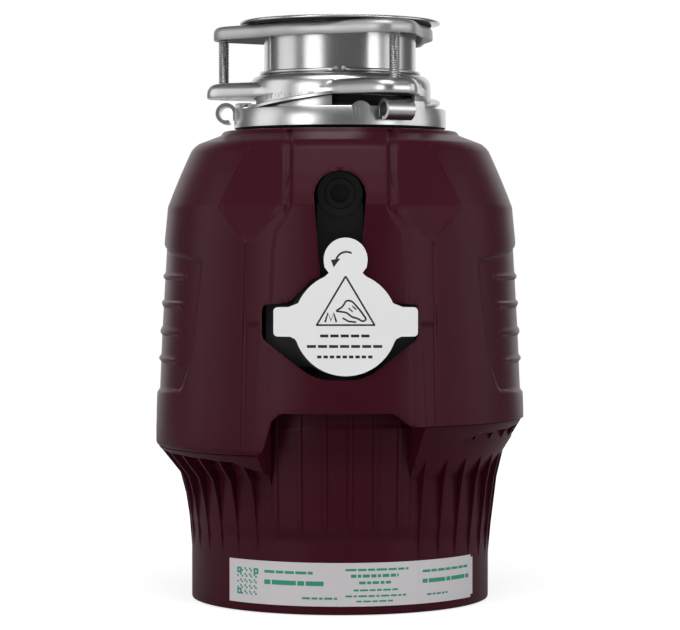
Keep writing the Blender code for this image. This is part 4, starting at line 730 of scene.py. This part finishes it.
flange = smooth_shade(dress(bent_grid("flange_and_sleeve", bearings, radius, height), STAINLESS), 50)
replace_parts(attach(flange, "sink_mount"), "sink_flange")


# ------------------------------------------------------------------ backing flange
# A pressed three-lobed plate under the sink: a rounded shoulder, a deep rim, and hollow below.

BACK_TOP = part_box("backing_flange")[1].z / MM
BACK_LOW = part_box("backing_flange")[0].z / MM
BACK_REACH = -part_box("backing_flange")[0].x / MM
back_rows = [
    (45.8, None, BACK_TOP - 0.8), (46.2, None, BACK_TOP - 0.2), (47.0, None, BACK_TOP), (0, 4.0, BACK_TOP),
    (0, 2.6, BACK_TOP - 0.2), (0, 1.4, BACK_TOP - 0.8), (0, 0.5, BACK_TOP - 1.8), (0, 0.05, BACK_TOP - 3.2),
    (0, 0.0, BACK_TOP - 4.2), (0, 0.0, BACK_LOW + 0.3), (0, 0.25, BACK_LOW), (0, 1.3, BACK_LOW),
    (0, 1.6, BACK_LOW + 0.4), (0, 1.7, BACK_TOP - 3.4), (0, 3.2, BACK_TOP - 1.6),
    (47.0, None, BACK_TOP - 1.6),
    (45.8, None, BACK_TOP - 1.4),
]


def back_edge(bearings):
    return lobed_radius(bearings, 52.8, BACK_REACH - 0.01, 9.6, 8.0)


backing = smooth_shade(dress(lobed("backing_plate", back_edge, back_rows), PLATED), 40)
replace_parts(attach(backing, "sink_mount"), "backing_flange")


# ------------------------------------------------------------------ mounting screws
# Long plated machine screws with a rolled thread and a slot in the lower end. The thread is a true helix.

SCREW_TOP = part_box("mounting_screw_left")[1].z / MM
SCREW_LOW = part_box("mounting_screw_left")[0].z / MM
PITCH = 1.27
screw_turns = np.arange(0, 360, 15.0)
screw_heights = np.arange(SCREW_LOW + 1.4, SCREW_TOP - 0.4, 0.21)
wave = np.abs((screw_heights[:, None] / PITCH - screw_turns[None, :] / 360) % 1 - 0.5) * 2
thread_r = 3.15 - 0.62 * wave
slot_cut = np.where(np.abs(np.sin(np.radians(screw_turns))) < 0.3, 1.2, 0.0)
for side, bearing in SCREW_BEARINGS.items():
    ends = [(0.01, SCREW_LOW), (2.6, SCREW_LOW), (2.9, SCREW_LOW + 0.4)]
    first_r = np.array([[r] for r, _ in ends]) * np.ones((1, len(screw_turns)))
    first_z = np.array([[z] for _, z in ends]) + np.zeros((1, len(screw_turns)))
    first_z[:2] += slot_cut
    last_r = np.array([[2.4], [0.01]]) * np.ones((1, len(screw_turns)))
    last_z = np.array([[SCREW_TOP], [SCREW_TOP]]) + np.zeros((1, len(screw_turns)))
    radius = np.concatenate([first_r, thread_r, last_r])
    height = np.concatenate([first_z, np.repeat(screw_heights[:, None], len(screw_turns), axis=1), last_z])
    at = (*round_place(SCREW_AT_R, bearing), 0)
    screw = bent_grid(f"screw_{side}", screw_turns, radius, height, False, at)
    smooth_shade(dress(screw, SCREW_STEEL), 60)
    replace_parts(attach(screw, "sink_mount"), f"mounting_screw_{side}")


# ------------------------------------------------------------------ mounting ring
# The upper ring: pressed, with a rounded body, three lobes that take the screws, and three sloping tracks.

TRACK_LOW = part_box("mounting_ring")[0].z / MM
RING_LOW = SCREW_LOW
RING_TOP = RING_LOW + 9.6
RING_BODY = 51.7
TRACK_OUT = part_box("mounting_ring")[1].x / MM
ring_rows = [
    (45.0, None, RING_TOP - 3), (45.0, None, RING_TOP - 1.3), (0, 9.0, RING_TOP - 1.0),
    (0, 6.0, RING_TOP - 1.0),
    (0, 4.0, RING_TOP - 1.4), (0, 2.2, RING_TOP - 2.3), (0, 1.0, RING_TOP - 3.6), (0, 0.25, RING_TOP - 5.2),
    (0, 0.0, RING_TOP - 6.8), (0, 0.0, RING_LOW + 0.5), (0, 0.4, RING_LOW), (0, 0.9, RING_LOW),
    (50.6, None, RING_LOW), (50.2, None, RING_LOW + 3), (45.0, None, RING_LOW + 3),
]


def ring_edge(bearings):
    return lobed_radius(bearings, RING_BODY, 75.78, 9.6, 7.0)


body_profile = [
    (45.0, RING_LOW + 2), (45.0, RING_TOP + 2.6), (45.4, RING_TOP + 3.0), (47.0, RING_TOP + 2.9),
    (49.0, RING_TOP + 2.0), (50.6, RING_TOP + 0.4), (51.4, RING_TOP - 1.8), (RING_BODY, RING_TOP - 4.5),
    (RING_BODY, RING_LOW + 0.4), (RING_BODY - 0.4, RING_LOW), (49.4, RING_LOW), (49.0, RING_LOW + 2),
]
ring = turned("upper_ring", body_profile, 144)
joined(ring, lobed("upper_ring_lobes", ring_edge, ring_rows))
for side, bearing in SCREW_BEARINGS.items():
    at = (*round_place(SCREW_AT_R, bearing), 0)
    boss = [(0.01, RING_TOP - 2), (5.8, RING_TOP - 2), (5.6, RING_TOP - 0.6), (4.9, RING_TOP + 0.6),
            (4.8, RING_TOP + 1.8), (4.4, RING_TOP + 2.7), (3.5, RING_TOP + 3.0), (0.01, RING_TOP + 3.0)]
    joined(ring, turned(f"boss_{side}", boss, 32, False, at))
track = [(50.2, TRACK_LOW + 0.1), (TRACK_OUT - 0.7, TRACK_LOW + 0.1), (TRACK_OUT, TRACK_LOW + 0.6),
         (TRACK_OUT, TRACK_LOW + 2.0), (TRACK_OUT - 0.7, TRACK_LOW + 2.45), (50.2, TRACK_LOW + 2.45)]
skirt = [(49.8, TRACK_LOW + 0.2), (RING_BODY, TRACK_LOW + 0.2), (RING_BODY, RING_LOW + 1.5),
         (49.8, RING_LOW + 1.5)]
TRACK_TURN = 61
TRACK_RISE = 7.6
for number in range(3):
    start = 294 + 120 * number
    joined(ring, swept(f"skirt_{number}", skirt, start, start + TRACK_TURN, 40))
    joined(ring, swept(f"track_{number}", track, start, start + TRACK_TURN, 40,
                       lambda share: (0, TRACK_RISE * share)))
    stop = [(50.2, TRACK_LOW + 0.1), (TRACK_OUT, TRACK_LOW + 0.1), (TRACK_OUT, TRACK_LOW + 4.2),
            (50.2, TRACK_LOW + 4.2)]
    joined(ring, bevelled(swept(f"stop_{number}", stop, start - 0.2, start + 1.4, 3), 0.5))
smooth_shade(dress(ring, BRIGHT_RING), 40)
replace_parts(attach(ring, "sink_mount"), "mounting_ring")


# ------------------------------------------------------------------ snap ring
# A spring wire ring round the sleeve's groove, with its two ends bent out at the front.

SNAP_Z = (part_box("snap_ring")[0].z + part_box("snap_ring")[1].z) / 2 / MM
SNAP_R = 44.8
snap_path = [(*round_place(SNAP_R + out, -2.5 - turn), SNAP_Z + out * 0.25) for out, turn in
             [(3.4, 0.2), (1.8, 0.9), (0.5, 2.2)]]
snap_path += [(*round_place(SNAP_R, turn), SNAP_Z) for turn in np.linspace(-6, -353, 110)]
snap_path += [(*round_place(SNAP_R + out, 5.0 - turn), SNAP_Z + out * 0.25) for out, turn in
              [(0.5, 0.4), (1.8, 2.0), (3.4, 3.0)]]
snap = smooth_shade(dress(wire("spring_wire_ring", snap_path, 1.05), BRIGHT_RING), 50)
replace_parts(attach(snap, "sink_mount"), "snap_ring")


# ------------------------------------------------------------------ lock ring
# The lower ring: a deep band with a rolled lower edge, three ears that ride on the tracks, three curled loops
# to turn it by, and a small saddle on its upper edge.

LOCK_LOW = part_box("lock_ring")[0].z / MM
LOCK_TOP = LOCK_LOW + 10.3
LOCK_OUT = 60.3
band = turned("lower_ring", [
    (56.2, LOCK_LOW), (58.0, LOCK_LOW - 0.8), (59.3, LOCK_LOW - 0.8), (LOCK_OUT, LOCK_LOW - 0.1),
    (LOCK_OUT + 0.1, LOCK_LOW + 1.1), (LOCK_OUT, LOCK_TOP - 0.5), (LOCK_OUT - 0.4, LOCK_TOP),
    (LOCK_OUT - 1.3, LOCK_TOP), (LOCK_OUT - 1.7, LOCK_TOP - 0.5), (LOCK_OUT - 1.7, LOCK_LOW + 2.2),
    (LOCK_OUT - 2.4, LOCK_LOW + 1.5), (56.2, LOCK_LOW + 1.5)], 180)
TAB_LOW = TRACK_LOW + 2.5 - 0.25 + 0.65
for number in range(3):
    first = 280 + 120 * number
    post = [(LOCK_OUT - 1.7, LOCK_TOP - 1.0), (LOCK_OUT, LOCK_TOP - 1.0), (LOCK_OUT, TAB_LOW + 2.0),
            (LOCK_OUT - 1.7, TAB_LOW + 2.0)]
    tab = [(53.7, TAB_LOW + 0.3), (LOCK_OUT, TAB_LOW + 0.3), (LOCK_OUT, TAB_LOW + 2.0), (53.7, TAB_LOW + 2.0)]
    ear = swept(f"ear_{number}", post, first, first + 12, 12)
    joined(ear, swept("tab", tab, first, first + 12, 12))
    joined(band, bevelled(ear, 0.45))
for number in range(3):
    centre = (-64.6, LOCK_TOP - 2.0)
    curl = arc_points(6.0, 0, 290, 28, centre) + arc_points(3.9, 290, 0, 28, centre)
    curl += [(centre[0] + 4.0, centre[1] - 4), (centre[0] + 6.0, centre[1] - 4)]
    loop = plate("loop", curl, -8.5, 8.5)
    loop.data.transform(Matrix.Rotation(math.radians(-1 + 120 * number), 4, "Z"))
    joined(band, loop)
saddle = [(LOCK_OUT - 1.6, LOCK_TOP - 5), (LOCK_OUT, LOCK_TOP - 5), (LOCK_OUT, LOCK_TOP - 0.8),
          (LOCK_OUT - 1.6, LOCK_TOP - 0.8)]
bump = swept("saddle", saddle, 6, 16, 24, lambda share: (0, 3.4 * np.sin(math.pi * share) ** 0.6))
joined(band, bump)
smooth_shade(dress(band, BRIGHT_RING), 40)
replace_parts(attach(band, "lock_ring"), "lock_ring")


# ------------------------------------------------------------------ mounting gasket
# Moulded black rubber: a stepped seal on the hopper. The splash baffle, whose flexible disc is cut into
# leaves, keeps the shape CAD draws.

GASKET_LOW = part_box("mounting_gasket")[0].z / MM
GASKET_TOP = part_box("mounting_gasket")[1].z / MM
GASKET_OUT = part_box("mounting_gasket")[1].x / MM
gasket = turned("seal", [
    (43.85, GASKET_TOP), (44.6, GASKET_TOP), (44.7, GASKET_LOW + 15), (47.6, GASKET_LOW + 14.8),
    (48.2, GASKET_LOW + 14.2), (48.2, GASKET_LOW + 5.4), (49.8, GASKET_LOW + 3.6),
    (GASKET_OUT - 0.8, GASKET_LOW + 3.6), (GASKET_OUT, GASKET_LOW + 2.8), (GASKET_OUT, GASKET_LOW + 0.8),
    (GASKET_OUT - 0.8, GASKET_LOW),
    (39.0, GASKET_LOW), (39.0, GASKET_LOW + 3.6), (43.85, GASKET_LOW + 3.6)])
smooth_shade(dress(gasket, RUBBER), 40)
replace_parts(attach(gasket, "housing"), "mounting_gasket")


# ------------------------------------------------------------------ transit card
# White coated card over the outlet, die cut in one piece with side tabs and a pull tab. It is printed in
# black with a curved arrow, a triangle with a hand and a blade edge, and three broken rules.

CARD_X = (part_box("transit_card")[0].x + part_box("transit_card")[1].x) / 2 / MM
CARD_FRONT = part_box("transit_card")[0].y / MM
CARD_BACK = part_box("transit_card")[1].y / MM
PULL_Z = OUTLET_Z + 34.5
pull = arc_points(11.7, 90, 188, 12, (0, PULL_Z))
neck = [(-11.2, OUTLET_Z + 30.4), (-9.0, OUTLET_Z + 27.4), (-10.4, OUTLET_Z + 26.0)]
upper = arc_points(27.7, 114, 156, 8, (0, OUTLET_Z))
shoulder = [(-27.4, OUTLET_Z + 10.4), (-30.5, OUTLET_Z + 9.2)]
tab = arc_points(2.2, 90, 180, 5, (-36.3, OUTLET_Z + 6.9))
tab += arc_points(2.2, 180, 270, 5, (-36.3, OUTLET_Z - 4.3))
flare = [(-29.6, OUTLET_Z - 6.6), (-27.0, OUTLET_Z - 7.9)]
lower = arc_points(27.7, 200, 270, 14, (0, OUTLET_Z))
left = pull + neck + upper + shoulder + tab + flare + lower
outline = left + [(-x, z) for x, z in left[-2:0:-1]]
outline = [(x + CARD_X, z) for x, z in outline]
COATED = surface("coated_white_card", "F0F0F1", "F5F5F5", 0.42, grain=0.9, relief=0.008)
card = plate("card", outline, CARD_FRONT + 0.04, CARD_BACK)
smooth_shade(dress(card, COATED), 30)
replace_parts(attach(card, "transit_card"), "transit_card")


def path_outline(points, width):
    """A line of some width along points in X and Z, as a closed outline."""
    points = [Vector(point) for point in points]
    left_side, right_side = [], []
    for place, point in enumerate(points):
        ahead = points[min(place + 1, len(points) - 1)] - points[max(place - 1, 0)]
        across = Vector((-ahead.y, ahead.x)).normalized() * width / 2
        left_side.append(tuple(point + across))
        right_side.append(tuple(point - across))
    return left_side + right_side[::-1]


def gathered(name, made, look):
    """Several flat pieces joined into one object."""
    deselect()
    for piece in made:
        piece.select_set(True)
    bpy.context.view_layer.objects.active = made[0]
    bpy.ops.object.join()
    made[0].name = name
    return dress(made[0], look)


PRINT_BLACK = surface("black_printing_ink", "1B1B1B", "202020", 0.5, grain=0.8, relief=0.002)
drawn = []


def ink(points, width=None):
    shape = path_outline(points, width) if width else points
    drawn.append(plate("ink", [(x + CARD_X, z) for x, z in shape], CARD_FRONT, CARD_FRONT + 0.03))


BASE_Z = OUTLET_Z - 0.4
APEX_Z = OUTLET_Z + 25.6
ink([(-15.8, BASE_Z), (15.8, BASE_Z)], 0.95)
ink([(15.4, BASE_Z), (0, APEX_Z)], 0.95)
ink([(0, APEX_Z), (-15.4, BASE_Z)], 0.95)
ink([(-11.0, BASE_Z + 1.6), (-9.4, BASE_Z + 6.4), (-7.9, BASE_Z + 2.4), (-6.4, BASE_Z + 6.4),
     (-4.9, BASE_Z + 1.6)], 1.05)
hand = [(-5.4, BASE_Z + 7.4), (-1.8, BASE_Z + 9.6), (0.4, BASE_Z + 13.2), (3.4, BASE_Z + 12.8),
        (7.6, BASE_Z + 8.0), (11.2, BASE_Z + 3.0), (9.0, BASE_Z + 1.8), (6.4, BASE_Z + 3.6),
        (3.4, BASE_Z + 4.2), (0.6, BASE_Z + 6.6), (-1.6, BASE_Z + 7.0)]
ink(rounded(hand, 1.2, 3) + rounded(hand, 1.2, 3)[:1], 0.95)
ink([(-1.6, BASE_Z + 3.8), (1.4, BASE_Z + 2.0), (5.6, BASE_Z + 1.5)], 0.9)
ink([(1.6, BASE_Z + 9.0), (3.8, BASE_Z + 7.0)], 0.7)
ink([(3.6, BASE_Z + 10.2), (5.6, BASE_Z + 8.2)], 0.7)
arrow = arc_points(5.6, 60, 165, 12, (0.4, PULL_Z - 1.5))
ink(arrow, 1.0)
ink([(-7.8, PULL_Z - 0.2), (-2.8, PULL_Z + 0.6), (-6.4, PULL_Z - 4.2)])
for row, (start, end) in enumerate([(-13.6, 13.8), (-20.6, 20.6), (-15.2, 15.4)]):
    level = OUTLET_Z - 6.2 - 5.6 * row
    breaks = np.linspace(start, end, 6 + row * 2)
    for first, second in zip(breaks, breaks[1:]):
        ink([(first, level), (second - 1.1, level)], 1.5)
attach(gathered("card_print", drawn, PRINT_BLACK), "transit_card")


# ------------------------------------------------------------------ labels
# Pale film with green printing, stuck round the foot of the lower housing, and a second one over its end.
# The printing is plain rules and a block code.

LABEL_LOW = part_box("rating_label")[0].z / MM
LABEL_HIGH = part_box("rating_label")[1].z / MM
LABEL_R = 85.0
LABEL_FACE = LABEL_R + 0.16
SECOND_FACE = LABEL_R + 0.24
LABEL_DEGREE = 1.48  # millimetres of label to a degree
FILM = surface("printed_label_film", "CBC7CA", "D2CED1", 0.4, grain=1.5, relief=0.01)


def film(name, start, end, low_z, high_z, inner, outer):
    section = [(inner, low_z), (outer, low_z), (outer, high_z), (inner, high_z)]
    return smooth_shade(dress(swept(name, section, start, end, int((end - start) / 1.5)), FILM), 30)


label = film("long_label", -45.6, 58.5, LABEL_LOW, LABEL_HIGH, LABEL_R, LABEL_FACE)
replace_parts(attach(label, "housing"), "rating_label")
second = film("short_label", 30, 60, LABEL_LOW + 1.6, LABEL_HIGH - 1.4, LABEL_R + 0.17, SECOND_FACE)
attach(second, "housing")
PRINT_GREEN = surface("green_printing_ink", "1F8A6E", "259274", 0.5, grain=0.8, relief=0.002)
printed = []


def mark(start, end, low_z, high_z, outer=LABEL_FACE):
    """A printed block on the label, between two bearings and two heights."""
    section = [(outer, low_z), (outer + 0.05, low_z), (outer + 0.05, high_z), (outer, high_z)]
    printed.append(swept("mark", section, start, end, max(2, int(abs(end - start) / 1.5))))


def words(start, end, level, tall, sizes, outer=LABEL_FACE):
    """A line of wording as blocks of several lengths."""
    place, turn = start, 0
    while place < end:
        size = sizes[turn % len(sizes)]
        mark(place, min(place + size, end), level, level + tall, outer)
        place += size + 0.55
        turn += 1


CELL = 1.05
CELLS = 14
EYE = 3
for column in range(CELLS):
    for row in range(CELLS):
        across, up = min(column, CELLS - 1 - column), min(row, CELLS - 1 - row)
        corner = across < EYE and up < EYE and not (column > 10 and row < EYE)
        eye = corner and (across in (0, 2) or up in (0, 2))
        if eye or (not corner and (column * 7 + row * 5 + column * row) % 3 == 0):
            turn = -41.5 + column * CELL / LABEL_DEGREE
            level = LABEL_LOW + 4.6 + row * CELL
            mark(turn, turn + CELL / LABEL_DEGREE, level, level + CELL)
words(-29, -10, LABEL_HIGH - 6.4, 1.5, [4.2, 3.0, 3.6])
words(-29, -6, LABEL_HIGH - 12.6, 2.5, [2.6, 9.5])
words(-14, -1, LABEL_LOW + 3.8, 1.1, [3.0, 2.2, 1.4])
words(2, 26, LABEL_HIGH - 4.4, 1.2, [4.0, 3.2, 2.6])
words(4, 22, LABEL_HIGH - 8.0, 1.7, [2.0, 1.2, 2.6])
words(7, 19, LABEL_HIGH - 11.6, 1.5, [2.4, 1.5])
words(5, 22, LABEL_HIGH - 15.4, 1.0, [1.8, 3.0, 2.2])
words(2, 25, LABEL_HIGH - 18.6, 1.0, [2.4, 1.2, 3.2])
words(6, 20, LABEL_HIGH - 21.4, 0.9, [2.0, 2.8])
words(32, 56, LABEL_HIGH - 6.6, 1.4, [3.4, 2.6], SECOND_FACE)
words(32, 57, LABEL_HIGH - 12.4, 2.2, [2.2, 8.0], SECOND_FACE)
words(34, 44, LABEL_LOW + 4.4, 1.0, [2.0, 1.4], SECOND_FACE)
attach(gathered("label_print", printed, PRINT_GREEN), "housing")


# ------------------------------------------------------------------ reset spring
# A small coil of spring wire between the reset button and its housing. The real spring shortens as the button
# is pressed; this coil is made at one length.

spring_box = [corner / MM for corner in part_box("reset_spring")]
middle = (spring_box[0] + spring_box[1]) / 2
COIL_R = spring_box[1].x - middle.x - 0.5
coil_low, coil_high = spring_box[0].z + 0.4, spring_box[1].z - 0.4
COIL_TURN = 10 * math.pi
coil = [(middle.x + COIL_R * math.cos(turn), middle.y + COIL_R * math.sin(turn),
         coil_low + (coil_high - coil_low) * turn / COIL_TURN) for turn in np.linspace(0, COIL_TURN, 90)]
spring = smooth_shade(dress(wire("coil_spring", coil, 0.38), SCREW_STEEL), 60)
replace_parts(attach(spring, "housing"), "reset_spring")
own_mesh(spring)


# ------------------------------------------------------------------ finishes of the pieces that CAD draws
# What shows of these is small or hidden until a pose or another view opens it, so the exact solids stand.

looks = {
    # Gloss black moulded plastic of the chamber, the drain bowl and the button's housing.
    "black_plastic": surface("black_moulded_plastic", "0A0A0B", "101011", 0.3, grain=0.7, relief=0.01),
    "black_rubber": RUBBER,
    "burgundy_plastic": BURGUNDY,
    "stainless_steel": STAINLESS,
    "zinc_plated_steel": PLATED,
    "bright_steel": BRIGHT_RING,
    "plain_steel": SCREW_STEEL,
    # Pressed fibre gasket, matt. Its near-black grey is partly painted shade: it stands in for the thin
    # shadow line at the gasket's joint.
    "fibre": surface("pressed_fibre_with_painted_shade", "2A2927", "353330", 0.85, grain=0.6, relief=0.06),
    # Painted casting: black with a coarse orange peel.
    "dark_casting": surface("painted_dark_casting", "151516", "1D1D1F", 0.5, grain=1.6, relief=0.05),
    # Hardened grinding steel: grey with a ground finish.
    "hardened_steel": pressed_steel("ground_hardened_steel", "8A8A8C", 0.32, (700, 700, 30)),
    # Stacked laminations: dull blue-grey steel with level lines.
    "laminations": pressed_steel("stacked_laminations", "6B6D72", 0.45, (20, 20, 2000)),
    # Enamelled copper wire: red-brown with a varnish gloss.
    "copper_winding": surface("enamelled_copper", "7A3A16", "96501F", 0.3, 0.6, grain=0.7, relief=0.25),
    # Cast aluminium: pale grey with a sand-cast grain.
    "cast_aluminium": surface("cast_aluminium", "A2A4A6", "B2B4B6", 0.5, 0.9, grain=1.2, relief=0.05),
    # Phenolic moulding: dark brown with a dull shine.
    "phenolic": surface("phenolic_moulding", "2A1C14", "35241A", 0.4, grain=0.8, relief=0.02),
    # Gloss red plastic, so that the reset button can be found.
    "red_plastic": surface("gloss_red_plastic", "9E1414", "AA1A1A", 0.25, grain=0.8, relief=0.006),
    # Black paint on sheet steel, slightly ribbed by the roller.
    "black_steel": surface("black_painted_steel", "101011", "161617", 0.42, 0.2, grain=1.0, relief=0.02),
    # Expanded foam: off-white beads.
    "foam": surface("expanded_foam", "D8D6CF", "E2E0DA", 0.9, grain=2.4, relief=0.3),
    "white_card": COATED,
    "label_film": FILM,
}
slot_of = {entry["node"]: entry["material_slot"] for entry in frame["record"]["subparts"]}
for name, node in frame["nodes"].items():
    look = looks[slot_of[name]]
    for place in range(max(1, len(node.data.materials))):
        if len(node.data.materials) <= place:
            node.data.materials.append(look)
        node.data.materials[place] = look
